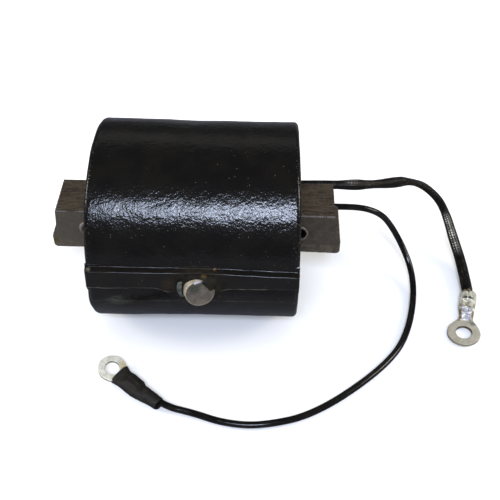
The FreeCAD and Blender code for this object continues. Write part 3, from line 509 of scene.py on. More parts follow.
def button_face():
    """Nickel contact: dull grey-brown face, a lighter lower rim, a cream side wall that is partly worn metal and partly
    painted lamp reflection, a painted highlight on the top edge, varnish smears.
    """
    m = Mat("contact_nickel")
    cloud = m.noise(0.6, 4, 0.6, 0.6)
    fine = m.noise(3.0, 4, 0.65)
    base = m.mix(m.span(cloud, 0.36, 0.64), (0.074, 0.063, 0.051), (0.124, 0.106, 0.086))
    base = m.mix(m.math("MULTIPLY", m.span(fine, 0.46, 0.70), 0.5), base, (0.055, 0.046, 0.037))
    base = m.mix(m.math("MULTIPLY", m.near((0.9, -29.4, 3.1), 2.0, 0.6, 1.4), 0.90), base, (0.040, 0.043, 0.032))
    base = m.mix(m.math("MULTIPLY", m.near((2.2, -29.6, -1.6), 2.2, 0.6, 1.0), 0.50), base, (0.150, 0.124, 0.092))
    base = m.mix(m.math("MULTIPLY", m.near((4.9, -28.3, 3.4), 1.7, 0.6, 1.4), 0.70), base, (0.040, 0.028, 0.018))
    fleck = m.math("MULTIPLY", m.span(m.noise(4.2, 2, 0.6), 0.66, 0.72), 0.55)
    base = m.mix(fleck, base, (0.30, 0.27, 0.22))
    out = m.t.nodes.new("ShaderNodeVectorMath")
    out.operation = "DOT_PRODUCT"
    g = m.t.nodes.new("ShaderNodeNewGeometry")
    m.t.links.new(g.outputs["Normal"], out.inputs[0])
    out.inputs[1].default_value = (0.278, -0.934, 0.225)
    wall = m.span(out.outputs["Value"], 0.80, 0.25)
    # the side wall is made cream: partly worn bright metal, partly painted reflection of the warm side lamp
    wall_wear_and_reflection = m.math("MULTIPLY", wall, m.span(m.noise(0.8, 3), 0.24, 0.5, 0.5, 1.0))
    base = m.mix(m.math("MULTIPLY", wall_wear_and_reflection, 0.9), base, (0.52, 0.46, 0.35))
    far = m.t.nodes.new("ShaderNodeVectorMath")
    far.operation = "DISTANCE"
    m.put(far.inputs[0], m.mm)
    far.inputs[1].default_value = (2.18, -29.1, 1.46)
    lip = m.math("MULTIPLY", m.span(far.outputs["Value"], 3.05, 3.40), m.span(m.axis("Z"), 1.8, -0.8))
    base = m.mix(m.math("MULTIPLY", lip, 0.40), base, (0.28, 0.245, 0.185))
    # painted highlight along the top edge of the face, bluish white
    painted_edge_highlight = m.near((1.05, -28.72, 4.62), 0.50, 0.8, 0.3)
    for where in ((1.50, -28.66, 4.76), (1.95, -28.6, 4.86), (2.4, -28.55, 4.90)):
        painted_edge_highlight = m.math("MAXIMUM", painted_edge_highlight, m.near(where, 0.50, 0.8, 0.3))
    base = m.mix(m.math("MULTIPLY", painted_edge_highlight, 0.75), base, (0.62, 0.65, 0.76))
    rough = m.math("SUBTRACT", m.span(fine, 0.25, 0.75, 0.44, 0.60), m.math("MULTIPLY", wall_wear_and_reflection, 0.26))
    m.set(color=base, metal=0.35, rough=rough, normal=m.bump(m.math("ADD", fine, m.math("MULTIPLY", cloud, 1.2)), 0.06))
    return m.m


def rubber(name, base_lo, base_hi, rough, per_mm, depth, spec=0.4, along=None):
    m = Mat(name)
    vec = m.scaled(along) if along else None
    n1 = m.noise(per_mm, 4, 0.6, 0.3, vec=vec)
    n2 = m.noise(per_mm * 0.22, 3, 0.5, 0.4)
    base = m.mix(m.span(n2, 0.35, 0.65), base_lo, base_hi)
    base = m.mix(m.math("MULTIPLY", m.span(n1, 0.55, 0.75), 0.4), base, tuple(min(1, c * 2.1 + 0.01) for c in base_hi))
    r = m.span(n1, 0.25, 0.75, rough - 0.08, rough + 0.08, soft=False)
    m.set(color=base, rough=r, spec=spec, normal=m.bump(m.math("ADD", n1, m.math("MULTIPLY", n2, 1.5)), depth))
    return m.m


def braid_mat():
    """Varnish-soaked black braid: the relief is in the mesh, this adds dust in the valleys and gloss."""
    m = Mat("varnished_braid")
    n1 = m.noise(4.5, 3, 0.6)
    n2 = m.noise(0.5, 3, 0.6)
    base = m.mix(m.span(n2, 0.35, 0.65), (0.0024, 0.0022, 0.0021), (0.0056, 0.0049, 0.0042))
    fleck = m.math("MULTIPLY", m.span(m.noise(2.2, 2, 0.6), 0.62, 0.70), m.span(m.noise(0.13, 2), 0.46, 0.56))
    base = m.mix(m.math("MULTIPLY", fleck, 0.5), base, (0.20, 0.17, 0.11))
    # light catches the crown of each yarn crossing
    a = m.math("ADD", m.axis("X", m.uv), m.axis("Y", m.uv))
    b = m.math("SUBTRACT", m.axis("X", m.uv), m.axis("Y", m.uv))
    crown = m.math("MULTIPLY", m.math("ABSOLUTE", m.math("SINE", m.math("MULTIPLY", a, math.pi))),
                   m.math("ABSOLUTE", m.math("SINE", m.math("MULTIPLY", b, math.pi))))
    dots = crown
    crown = m.math("MULTIPLY", m.span(crown, 0.62, 0.92), m.span(m.noise(0.35, 2), 0.38, 0.60, 0.25, 1.0))
    # and the varnish glints on it in rows of dots where the lead faces the light
    where = None
    for lo, hi, soft, k in ((54.5, 70.5, 3.5, 1.0), (18.0, 20.6, 1.8, 0.8), (34.0, 37.0, 1.8, 0.9)):
        s_mm = m.math("MULTIPLY", m.axis("Y", m.uv), 0.80)
        w = m.math("MULTIPLY", m.span(s_mm, lo - soft, lo + soft, 0.0, k), m.span(s_mm, hi - soft, hi + soft, 1.0, 0.0))
        where = w if where is None else m.math("MAXIMUM", where, w)
    face = m.t.nodes.new("ShaderNodeVectorMath")
    face.operation = "DOT_PRODUCT"
    m.put(face.inputs[0], m.uv.node.outputs["Normal"])
    face.inputs[1].default_value = (-0.293, -0.356, 0.887)
    column = m.math("ABSOLUTE", m.math("COSINE", m.math("MULTIPLY", m.axis("X", m.uv), math.pi)))
    glint = m.math("MULTIPLY", m.span(dots, 0.28, 0.55), m.span(column, 0.46, 0.76))
    glint = m.math("MULTIPLY", glint, m.math("MULTIPLY", where, m.span(face.outputs["Value"], 0.80, 0.91)))
    glint = m.math("MULTIPLY", glint, m.span(m.noise(0.55, 2), 0.36, 0.54, 0.35, 1.0))
    base = m.mix(m.math("MULTIPLY", crown, 0.30), base, (0.060, 0.050, 0.034))
    base = m.mix(glint, base, (0.98, 0.95, 0.84))
    rough = m.math("SUBTRACT", m.span(n1, 0.3, 0.7, 0.17, 0.30), m.math("MULTIPLY", crown, 0.06))
    spec = m.math("MULTIPLY_ADD", crown, 0.20, 0.17)
    m.set(color=base, rough=rough, spec=spec, normal=m.bump(n1, 0.02))
    return m.m


def cloth(name, a, b, per_mm, rough, depth, along=(1.0, 1.0, 1.0)):
    """Tape, paper or cambric that is closed inside the winding: crossed threads over a stained tone."""
    m = Mat(name)
    v = m.scaled(along)
    w = m.t.nodes.new("ShaderNodeTexWave")
    m.put(w.inputs["Vector"], v)
    w.inputs["Scale"].default_value = per_mm
    w.inputs["Distortion"].default_value = 1.2
    n = m.noise(0.5, 4, 0.6)
    base = m.mix(m.span(n, 0.3, 0.7), a, b)
    base = m.mix(m.math("MULTIPLY", w.outputs["Fac"], 0.25), base, tuple(c * 0.5 for c in a))
    m.set(color=base, rough=m.span(n, 0.3, 0.7, rough - 0.08, rough + 0.08), normal=m.bump(w.outputs["Fac"], depth))
    return m.m


MAT_IRON = iron()
MAT_RIVET = plated("rivet_plating", (0.33, 0.29, 0.25), (0.15, 0.13, 0.115), 0.6, 0.34, 0.55, 0.7, 0.05,
                   flux=[((-30.6, -6.4, 0.2), 1.5, 0.6), ((-29.9, -6.5, -1.2), 1.2, 0.5)], flux_color=(0.10, 0.075, 0.045),
                   # painted shade inside the bores of both rivets
                   painted_hole_shade=[((-28.4, 0.0, 1.3), 2.0, (0.008, 0.007, 0.006)), ((26.6, 0.0, 1.3), 2.0, (0.008, 0.007, 0.006))])
MAT_BUTTON = button_face()
MAT_TAB = plated("tab_solder", (0.135, 0.150, 0.132), (0.040, 0.047, 0.040), 0.30, 0.38, 0.62, 0.35, 0.12)
MAT_COMPOUND = rubber("potting_compound", (0.0055, 0.0050, 0.0046), (0.0125, 0.0108, 0.0090), 0.38, 1.6, 0.16, 0.42)
MAT_PVC = rubber("lead_insulation", (0.0032, 0.0030, 0.0030), (0.0066, 0.0060, 0.0052), 0.16, 1.3, 0.030, 0.36)
MAT_SHRINK = rubber("shrink_tube", (0.0078, 0.0070, 0.0060), (0.0155, 0.0140, 0.0120), 0.56, 2.6, 0.12, 0.26)
MAT_BRAID = braid_mat()
MAT_COPPER = plated("enamelled_copper", (0.52, 0.20, 0.075), (0.33, 0.11, 0.04), 0.85, 0.25, 0.42, 0.8, 0.03)
MAT_BRASS = plated("brass_strip", (0.60, 0.42, 0.16), (0.42, 0.28, 0.10), 0.9, 0.28, 0.45)
MAT_PAPER = cloth("varnished_paper", (0.30, 0.21, 0.10), (0.42, 0.31, 0.17), 1.6, 0.55, 0.03)
MAT_FIBRE = cloth("fibre_board", (0.17, 0.055, 0.035), (0.26, 0.09, 0.055), 2.4, 0.6, 0.03)
MAT_CAMBRIC = cloth("varnished_cambric", (0.20, 0.13, 0.035), (0.33, 0.23, 0.07), 2.2, 0.4, 0.05)
MAT_TAPE = cloth("friction_tape", (0.012, 0.012, 0.012), (0.028, 0.027, 0.025), 1.8, 0.7, 0.08)


def paint(node, material):
    ob = NODE[node]
    if not ob.material_slots:
        ob.data.materials.append(material)
    for s in ob.material_slots:
        s.material = material


for names, material in (
        (("core_laminations",), MAT_IRON),
        (("core_paper_sleeve", "primary_layer_paper", "winding_barrier_tube", "secondary_layer_papers"), MAT_PAPER),
        (("coil_former", "former_flange_left", "former_flange_right"), MAT_FIBRE),
        (("primary_winding_inner", "primary_winding_outer", "secondary_winding", "secondary_start_tail",
          "secondary_finish_tail", "primary_start_tail", "primary_finish_tail"), MAT_COPPER),
        (("secondary_cambric_cover",), MAT_CAMBRIC),
        (("filler_wrap",), MAT_TAPE),
        (("high_tension_strip",), MAT_BRASS),
        (("ground_lead_bush", "primary_lead_bush"), MAT_COMPOUND)):
    for node in names:
        paint(node, material)
bevel = NODE["core_laminations"].modifiers.new("burr", "BEVEL")
bevel.width = 0.00006
bevel.segments = 2
bevel.limit_method = "ANGLE"
bevel.angle_limit = math.radians(50)

# ------------------------------------------------------------------ cords
GROUND_ROUTE = [(22.0, 9.6, 3.9), (30.0, 9.85, 4.2), (39.59, 10.6, 3.66), (48.96, 13.6, 1.63),
                (60.99, 23.52, -4.71), (68.11, 22.86, -10.18), (71.81, 22.2, -16.78), (73.44, 15.3, -20.05),
                (75.78, 8.4, -24.3), (75.7, -3.8, -24.3)]
PRIMARY_ROUTE = [(22.0, 8.6, -2.5), (33.5, 8.6, -2.5), (48.78, 10.64, -4.51), (55.97, 12.33, -15.72),
                 (61.66, 3.05, -25.12), (57.42, -18.41, -25.12), (48.97, -30.53, -25.12),
                 (31.27, -45.0, -25.12), (17.76, -48.85, -25.12), (8.33, -48.31, -25.12), (0.2, -45.48, -25.0),
                 (-7.18, -44.08, -24.5), (-13.62, -39.26, -24.3)]


def nurbs(name, points, bevel_mm=0.0):
    cu = bpy.data.curves.new(name, "CURVE")
    cu.dimensions = "3D"
    sp = cu.splines.new("NURBS")
    sp.points.add(len(points) - 1)
    for p, q in zip(sp.points, points):
        p.co = (q[0] * MM, q[1] * MM, q[2] * MM, 1.0)
    sp.order_u = 3
    sp.use_endpoint_u = True
    cu.resolution_u = 32
    cu.bevel_depth = bevel_mm * MM
    cu.bevel_resolution = 10
    cu.use_fill_caps = True
    ob = bpy.data.objects.new(name, cu)
    scene.collection.objects.link(ob)
    return ob


def spline_line(route):
    """Points along the route's own spline, millimetres."""
    ob = nurbs("route_line", route)
    ob.data.use_fill_caps = False
    bpy.context.view_layer.update()
    me = bpy.data.meshes.new_from_object(ob)
    pts = np.array([v.co[:] for v in me.vertices]) / MM
    cu = ob.data
    bpy.data.objects.remove(ob)
    bpy.data.curves.remove(cu)
    bpy.data.meshes.remove(me)
    return pts


def length_of(line):
    return float(np.sum(np.linalg.norm(np.diff(np.asarray(line), axis=0), axis=1)))


# Braided lead: a tube whose skin carries the over-and-under of the braid.
g_line = spline_line(GROUND_ROUTE)
G_LEN = length_of(g_line)
g_pts = resample(g_line, int(G_LEN / 0.125))
g_tan, g_side, g_up = frames(g_pts)
g_s = np.linspace(0, G_LEN, len(g_pts))[:, None]
g_phi = np.linspace(0, 2 * np.pi, 96, endpoint=False)[None, :]
CARRIERS, LAMBDA = 12, 0.80
A = CARRIERS * g_phi / (2 * np.pi) + g_s / LAMBDA
B = CARRIERS * g_phi / (2 * np.pi) - g_s / LAMBDA
over = (np.floor(A) + np.floor(B)) % 2 == 0
hump = np.where(over, np.abs(np.sin(np.pi * A)) ** 0.6 * (0.55 + 0.45 * np.abs(np.sin(np.pi * B))),
                np.abs(np.sin(np.pi * B)) ** 0.6 * (0.55 + 0.45 * np.abs(np.sin(np.pi * A))))
g_wave = np.interp(g_s[:, 0], [0.0, 15.3, 17.3, 19.3, 21.4, 23.6, 25.9, 28.5, 31.2, 34.2, 37.4, 40.6, 43.6, 46.5,
                    52.4, 55.9, 58.9, 61.5, 64.1, 66.7, 69.3, 71.8, 74.4, 77.2, 80.2, 83.3, 85.6, 86.8],
                   [1.28, 1.26, 1.38, 1.51, 1.49, 1.25, 1.17, 1.27, 1.44, 1.51, 1.44, 1.05, 0.94, 1.07,
                    1.14, 1.20, 1.23, 1.35, 1.38, 1.49, 1.50, 1.52, 1.56, 1.61, 1.58, 1.62, 1.60, 1.30])[:, None]
g_flat = np.interp(g_s[:, 0], [0, 15, 24, 34, 50, 88], [0.0, 0.06, -0.05, 0.09, 0.02, 0.05])[:, None]
g_r = g_wave * (1 + g_flat * np.cos(2 * (g_phi - 0.6 - g_s * 0.03))) - 0.12 + 0.15 * hump
ground = g_pts[:, None, :] + g_r[..., None] * (np.cos(g_phi)[..., None] * g_side[:, None, :]
                                              + np.sin(g_phi)[..., None] * g_up[:, None, :])
v, f = loft(ground)
ground_lead = make("braided_ground_lead", v, f, MAT_BRAID, ("ground_lead",))
# turns round the lead and turns of braid along it, for the yarn's sheen
uv_mesh = ground_lead.data
uv_index = np.zeros(len(uv_mesh.loops), dtype=np.int32)
uv_mesh.loops.foreach_get("vertex_index", uv_index)
ring_of, turn_of = np.minimum(uv_index // 96, len(g_pts) - 1), uv_index % 96
uv_u = CARRIERS * turn_of / 96.0
uv_v = g_s[ring_of, 0] / LAMBDA
uv_layer = uv_mesh.uv_layers.new(name="braid")
uv_layer.data.foreach_set("uv", np.stack([uv_u, uv_v], axis=1).astype(np.float32).ravel())

primary_lead = nurbs("insulated_primary_lead", PRIMARY_ROUTE, 0.88)
primary_lead.data.materials.append(MAT_PVC)
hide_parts("primary_lead")
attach(primary_lead, "root")
P_LEN = length_of(spline_line(PRIMARY_ROUTE))

# ------------------------------------------------------------------ wound case
def swell(x, th):
    """The lower front of the winding bulges a little at both ends."""
    th = np.angle(np.exp(1j * np.asarray(th)))
    w = smooth((np.cos(th + 0.25) + 0.45) / 1.05)
    low = smooth((0.12 - th) / 0.5) * smooth((th + 2.1) / 0.8)
    return x + np.where(x < 0, -0.38 * w - 1.0 * low, 0.58 * w) * smooth((np.abs(x) - 17.0) / 8.5)


def case():
    n_t = 480
    prof = [(x, 26.0) for x in np.linspace(-24.55, 24.55, 150)]
    arc = [(24.55 + 1.2 * math.sin(a), 24.8 + 1.2 * math.cos(a)) for a in np.linspace(0, math.pi / 2, 9)[1:]]
    prof += arc + [(25.75, 24.55), (25.62, 24.36), (25.1, 24.3), (12.0, 24.3), (0.0, 24.3), (-12.0, 24.3),
                   (-25.1, 24.3), (-25.62, 24.36), (-25.75, 24.55)]
    prof += [(-x, r) for x, r in reversed(arc)]
    prof = np.array(prof)
    th = np.linspace(0, 2 * np.pi, n_t, endpoint=False)
    x = np.broadcast_to(prof[:, 0][:, None], (len(prof), n_t)).copy()
    r = np.broadcast_to(prof[:, 1][:, None], (len(prof), n_t)).copy()
    unit = np.stack([x, 26 * np.cos(th)[None, :] + 0 * x, 26 * np.sin(th)[None, :] + 0 * x], axis=-1)
    skin = smooth((r - 24.3) / 0.8)
    bump = 0.085 * N1.fbm(unit, 11.0, 2) + 0.030 * N2.fbm(unit, 2.6, 2) + 0.020 * N3(unit, 1.15)
    # shallow rings where the turns of tape lap under the varnish
    bump = bump + 0.018 * np.sin(x * 0.55 + 2.0 * N2(unit, 16.0))
    bump = np.minimum(bump, 0.11) - 0.05
    # the drying runs thicken the varnish towards the rims
    rim = np.exp(-((np.abs(x) - 24.6) / 1.0) ** 2)
    r = r + skin * (bump + 0.02 * rim + fatter(x))
    x = x + np.sign(x) * skin * smooth((np.abs(x) - 24.4) / 1.2) * (0.10 * N1.fbm(unit * [0, 1, 1], 7.0, 2) - 0.04)
    x = swell(x, np.broadcast_to(th, x.shape))
    pts = np.stack([x, -r * np.cos(th), r * np.sin(th)], axis=-1)
    v, f = loft(pts, ring=True)
    return make("varnished_case", v, f, MAT_CASE, ("outer_wrap",))


XB, AB = 1.4, 26.0 * math.radians(2.5)


def rail_edges(x):
    lo = 1.15 + 0.006 * x + 0.10 * np.sin(x * 0.35) - 1.20 * np.exp(-((x + 5.4) / 2.3) ** 2) \
        - 0.85 * np.exp(-((x - 6.3) / 1.9) ** 2) + 0.04 * np.sin(x * 1.3 + 1)
    hi = 6.50 - 0.0141 * x - 0.00040 * x ** 2 + 0.05 * np.sin(x * 0.22 + 0.6) + 0.03 * np.sin(x * 0.9)
    return lo, hi


def rail_height(x, a):
    """Height of the cover strip above r 26 (0 outside it)."""
    x, a = np.broadcast_arrays(np.asarray(x, float), np.asarray(a, float))
    lo, hi = rail_edges(x)
    near = np.exp(-((x - XB - 0.6) / 5.6) ** 2)
    w_hi = 0.85 + 0.10 * near
    top = 1.56 - 0.30 * near * smooth((a - 2.6) / 2.6)
    return top * smooth((a - lo + 0.18) / 0.42) * (1 - smooth((a - hi + w_hi) / w_hi))


def flap_height(x, a):
    x, a = np.broadcast_arrays(np.asarray(x, float), np.asarray(a, float))
    lo = -4.95 + 0.014 * x + 0.10 * np.sin(x * 0.31 + 1.1) + 0.04 * np.sin(x * 1.1)
    return 0.36 * smooth((a - lo) / 0.34)


def strip_mesh(x_half, height, a_range, under, n_x, n_a, rough):
    """Long strip laid on the winding; its ends round off and its foot is sunk in the varnish."""
    xs = np.linspace(-x_half + 0.8, x_half - 0.8, n_x)
    ends = 0.8 * np.sin(np.linspace(0, math.pi / 2, 8)[1:])
    xs = np.concatenate([-(x_half - 0.8) - ends[::-1], xs, x_half - 0.8 + ends])
    rows = []
    for x in xs:
        t = max(0.0, (abs(x) - (x_half - 0.8)) / 0.8)
        fall = math.sqrt(max(0.0, 1 - t * t))
        a = np.linspace(a_range[0], a_range[1], 500)
        h = height(np.full_like(a, x), a)
        h = h - 0.8 * (1 - fall) * smooth(h / 0.3)
        line = resample(np.stack([a, h * 1.0], axis=1), n_a)
        a, h = line[:, 0], line[:, 1]
        p = on_skin(x, a, 0.0)
        h = h + smooth(h / 0.3) * (rough * (N2.fbm(p + 5, 2.4, 2) + 0.5 * N3(p, 1.0)))
        edge = np.minimum(np.arange(n_a), np.arange(n_a)[::-1])
        h = h - 0.25 * np.exp(-(edge / 1.2) ** 2)
        shift = 0.05 * N1(p * [0.4, 1, 1], 5.0)
        a = a + shift
        back = np.linspace(a[-1], a[0], 10)[1:-1]
        row = np.vstack([on_skin(x, a, h), on_skin(x, back, np.full_like(back, under))])
        row[:, 0] = swell(row[:, 0], np.concatenate([a, back]) / 26.0)
        rows.append(row)
    return loft(np.array(rows))


def rail():
    v, f = strip_mesh(25.75, rail_height, (0.2 - 1.3, 7.25), -1.25, 230, 66, 0.020)
    return make("varnished_cover_strip", v, f, MAT_RAIL, ("high_tension_cover_strip",), 80)


def flap():
    v, f = strip_mesh(25.1, flap_height, (-5.6, 1.6), -1.0, 200, 56, 0.020)
    return make("wrap_end_lap", v, f, MAT_FLAP, ("wrap_end_flap",), 80)


def heap():
    """Varnish heaped round the button, highest on the side away from the tab."""
    n_r, n_p = 44, 150
    psi = np.linspace(0, 2 * np.pi, n_p, endpoint=False)
    reach = 5.9 + 0.5 * np.sin(psi * 2 + 0.6) + 0.35 * np.sin(psi * 3 + 2.0) + 0.15 * np.sin(psi * 7)
    flat = np.where(np.sin(psi) > 0, 4.1, 4.35)
    reach = 1.0 / (np.abs(np.cos(psi) / reach) ** 2.6 + np.abs(np.sin(psi) / flat) ** 2.6) ** (1 / 2.6)
    rows = []
    for i, t in enumerate(np.linspace(0, 1, n_r)):
        rho = 3.0 + (reach - 3.0) * t ** 1.15
        x = XB + rho * np.cos(psi)
        a = AB + rho * np.sin(psi)
        base = np.maximum(rail_height(x, a), flap_height(x, a))
        up_right = np.exp(-((np.angle(np.exp(1j * (psi - 0.75)))) / 0.75) ** 2)
        left = np.exp(-((np.angle(np.exp(1j * (psi - 2.9)))) / 0.55) ** 2)
        low = np.exp(-((np.angle(np.exp(1j * (psi + 1.57)))) / 0.9) ** 2)
        top = 1.90 + 0.95 * up_right - 0.35 * left - 0.05 * low
        spread = 0.95 + 0.75 * up_right - 0.10 * left
        d = np.maximum(rho - 3.1, 0)
        h = base + (top - base) * np.exp(-(d / spread) ** 1.7)
        p = on_skin(x, a, 1.0)
        h = h + 0.07 * N2.fbm(p, 2.6, 2) * smooth(1.25 - t) + 0.03 + 0.012 * N3(p, 0.9) * (1 - t)
        h = h - 0.32 * smooth((t - 0.72) / 0.28)
        rows.append(on_skin(x, a, h))
    outer = rows[-1]
    x = XB + reach * np.cos(psi)
    a = AB + reach * np.sin(psi)
    rows.append(on_skin(x, a, np.full_like(x, -0.7)))
    x = XB + 3.0 * np.cos(psi)
    a = AB + 3.0 * np.sin(psi)
    rows.append(on_skin(x, a, np.full_like(x, -0.7)))
    v, f = loft(np.array(rows), ring=True)
    return make("varnish_heap_round_button", v, f, MAT_HEAP, ("button_varnish_collar",), 80)


def lathe(profile, axis_from, axis_dir, n, wobble=None):
    """Turned closed loop: profile of (radius, distance along the axis)."""
    d = np.asarray(axis_dir, float)
    d /= np.linalg.norm(d)
    u = np.cross(d, [1.0, 0, 0]) if abs(d[0]) < 0.9 else np.cross(d, [0, 1.0, 0])
    u /= np.linalg.norm(u)
    w = np.cross(d, u)
    ph = np.linspace(0, 2 * np.pi, n, endpoint=False)
    rows = []
    for r, s in profile:
        k = 0.0 if wobble is None else wobble(r, s, ph)
        rr = (r * (1 + k))[:, None] if not np.isscalar(k) else np.full((n, 1), r)
        rows.append(np.asarray(axis_from) + d * s + rr * (np.cos(ph)[:, None] * u + np.sin(ph)[:, None] * w))
    return np.array(rows)


# The head sits crooked on its shank: centre of its face and the way it looks.
FACE = np.array([2.18, -29.1, 1.46])
LOOK = np.array([0.278, -0.934, 0.225])
LOOK = LOOK / np.linalg.norm(LOOK)


def button():
    prof = [(1.2, -5.6), (1.58, -5.5), (1.6, -5.2), (1.6, -2.8), (2.4, -2.7), (3.64, -2.66), (3.84, -2.5)]
    prof += [(3.88 - 0.035 * k, -2.3 + 0.33 * k) for k in range(7)]
    prof += [(3.66 - 0.28 * (1 - math.cos(a)), -0.28 + 0.28 * math.sin(a)) for a in np.linspace(0, math.pi / 2, 10)[1:]]
    prof += [(r, 0.07 * (1 - (r / 3.38) ** 2)) for r in np.linspace(3.25, 0.06, 30)]
    rows = lathe(prof, FACE, LOOK, 120,
                 lambda r, s, ph: 0.007 * np.sin(2 * ph + 0.7) + 0.004 * np.sin(3 * ph + 2) + 0.003 * np.sin(7 * ph))
    flat = rows.reshape(-1, 3)
    s = (flat - FACE) @ LOOK
    worn = smooth((s + 1.7) / 0.5)
    dent = 0.060 * N1.fbm(flat + 3, 2.6, 3) + 0.014 * N3(flat, 0.55) - 0.02
    flat = flat + (worn * dent)[:, None] * LOOK
    v, f = loft(flat.reshape(rows.shape))
    return make("contact_button", v, f, MAT_BUTTON, ("high_tension_button",))


def tab():
    """Small C of solder beside the button, pinched and pitted."""
    key = [(-2.20, 3.50, 0.26, 2.25), (-2.50, 3.72, 0.42, 2.42), (-2.88, 3.40, 0.46, 2.30), (-2.98, 2.7, 0.50, 2.20),
           (-3.00, 1.8, 0.50, 2.10), (-2.98, 1.0, 0.50, 2.00), (-2.92, 0.4, 0.42, 1.9), (-2.85, -0.25, 0.30, 1.75),
           (-2.60, -0.85, 0.32, 1.62), (-2.25, -1.25, 0.2, 1.5)]
    key = np.array(key)
    line = resample(key, 70)
    for _ in range(6):
        line[1:-1] = (line[:-2] + line[2:]) / 2 * 0.6 + line[1:-1] * 0.4
    pts = on_skin(line[:, 0], line[:, 1], line[:, 3])
    tan, side, up = frames(pts)
    radial = pts * [0, 1, 1]
    radial /= np.linalg.norm(radial, axis=1)[:, None]
    across = np.cross(tan, radial)
    across /= np.linalg.norm(across, axis=1)[:, None]
    ph = np.linspace(0, 2 * np.pi, 26, endpoint=False)
    wide = line[:, 2] * np.clip(np.minimum(np.arange(70), np.arange(70)[::-1]) / 4.0 + 0.25, 0, 1) ** 0.5
    rows = []
    for i in range(70):
        c, s = np.cos(ph), np.sin(ph)
        ring = pts[i] + wide[i] * 1.25 * c[:, None] * across[i] + wide[i] * 0.85 * s[:, None] * radial[i]
        ring += 0.06 * (N2(ring, 0.7) + 0.5 * N3(ring, 0.35))[:, None] * radial[i]
        rows.append(ring)
    v, f = loft(np.array(rows))
    return make("bent_solder_tab", v, f, MAT_TAB, ("button_solder_tab",))


def potting(side):
    """Poured compound closing one end: a meniscus at the core and rim, the recess softened by the pour."""
    n_t, x0 = 240, 21.6
    ph = np.linspace(0, 2 * np.pi, n_t, endpoint=False)
    c, s = np.cos(ph), np.sin(ph)
    k = 6.85 / np.maximum(np.abs(c), np.abs(s))
    k = np.minimum(k, 6.85 * 1.32)
    inner_y, inner_z = 0.4 + k * c, 0.4 + k * s
    rows = []
    for t in np.linspace(0, 1, 54):
        y = inner_y * (1 - t) + 24.28 * c * t
        z = inner_z * (1 - t) + 24.28 * s * t
        r = np.hypot(y, z)
        x = 23.25 + 2.05 * smooth((r - 11.2) / 1.5)
        x = x + 0.35 * np.exp(-(r - 24.28) ** 2 / 0.5) + 0.5 * np.exp(-(t * 17 / 0.9) ** 2)
        p = np.stack([np.full_like(y, side * 20.0), y, z], axis=-1)
        x = x + 0.10 * N1.fbm(p, 6.0, 3) + 0.035 * N2.fbm(p, 1.6, 2)
        # pin holes left by bubbles
        x = x - 0.25 * smooth((N3(p, 1.9) - 0.52) / 0.12)
        rows.append(np.stack([side * x, y, z], axis=-1))
    rows.append(np.stack([np.full_like(c, side * x0), 24.28 * c, 24.28 * s], axis=-1))
    rows.append(np.stack([np.full_like(c, side * x0), 16 * c, 16 * s], axis=-1))
    rows.append(np.stack([np.full_like(c, side * x0), inner_y, inner_z], axis=-1))
    v, f = loft(np.array(rows), ring=True)
    name = "left" if side < 0 else "right"
    return make("potting_" + name, v, f, MAT_COMPOUND, ("end_compound_" + name,), 60)


def rivet(name, node, x, front, back, off=(0.0, 0.0)):
    """Tube rivet with both ends rolled over."""
    def head(face, sign):
        pts = []
        for a in np.linspace(0, math.pi, 15):
            pts.append((2.16 - 0.45 * math.cos(a), face + sign * 0.60 * math.sin(a) ** 0.8))
        return pts
    prof = [(1.71, front + 1.5)] + head(front, -1) + [(2.62, front - 0.02), (2.6, front + 0.01), (2.0, front + 0.02),
                                                       (2.0, back - 0.02), (2.6, back - 0.01), (2.62, back + 0.02)]
    prof += list(reversed(head(back, 1))) + [(1.71, back - 1.5)]
    rows = lathe(prof, (x, 0, 1.3), (0, 1, 0), 72,
                 lambda r, s, ph: 0.012 * np.sin(3 * ph + r) * (r > 1.9) + 0.008 * np.sin(7 * ph) * (r > 2.2))
    flat = rows.reshape(-1, 3)
    flat = flat + 0.03 * N2.fbm(flat, 1.1, 2)[:, None] * np.array([0.3, 1, 0.3])
    # the rolled front lip sits a little off the middle of its hole
    lip = smooth((front + 0.6 - flat[:, 1]) / 0.6)[:, None]
    flat = flat + lip * np.array([off[0], 0.0, off[1]])
    v, f = loft(flat.reshape(rows.shape), ring=True)
    return make(name, v, f, MAT_RIVET, (node,))


case(); rail(); flap(); heap(); button(); tab()
potting(-1); potting(1)
rivet("rolled_rivet_left", "core_rivet_left", -28.4, -6.07, 6.87, (-0.55, -0.25))
rivet("rolled_rivet_right", "core_rivet_right", 26.6, -6.27, 7.09, (-0.38, -0.36))

# ------------------------------------------------------------------ ring terminals
class Local:
    """Frame on the rest surface: s along the terminal, l to its side, z up from the surface (mm)."""

    def __init__(self, origin, direction):
        self.o = np.array(origin, float)
        d = np.array(direction, float)
        self.d = d / np.linalg.norm(d)
        self.l = np.array([-self.d[1], self.d[0], 0.0])

    def __call__(self, s, l, z):
        s, l, z = np.broadcast_arrays(np.asarray(s, float), np.asarray(l, float), np.asarray(z, float))
        return self.o + s[..., None] * self.d + l[..., None] * self.l + z[..., None] * np.array([0, 0, 1.0])

    def spot(self, s, l, z=1.0):
        return tuple(float(c) for c in self(s, l, z))


BIG = Local((75.377, -2.325, -26.0), (-0.173336, -0.984863, 0.0))
SMALL = Local((-8.15, -43.62, -26.0), (-0.782, 0.623, 0.0))


def ray_outline(poly, centre, angles):
    """Distance from centre to a star-shaped outline in each direction."""
    poly = np.asarray(poly, float) - centre
    q = np.roll(poly, -1, axis=0)
    out = []
    for b in angles:
        d = np.array([math.cos(b), math.sin(b)])
        best = 0.0
        for p0, p1 in zip(poly, q):
            e = p1 - p0
            den = d[0] * e[1] - d[1] * e[0]
            if abs(den) < 1e-9:
                continue
            t = (p0[0] * e[1] - p0[1] * e[0]) / den
            u = (p0[0] * d[1] - p0[1] * d[0]) / den
            if t > 0 and -1e-6 <= u <= 1 + 1e-6:
                best = max(best, t)
        out.append(best)
    return np.array(out)


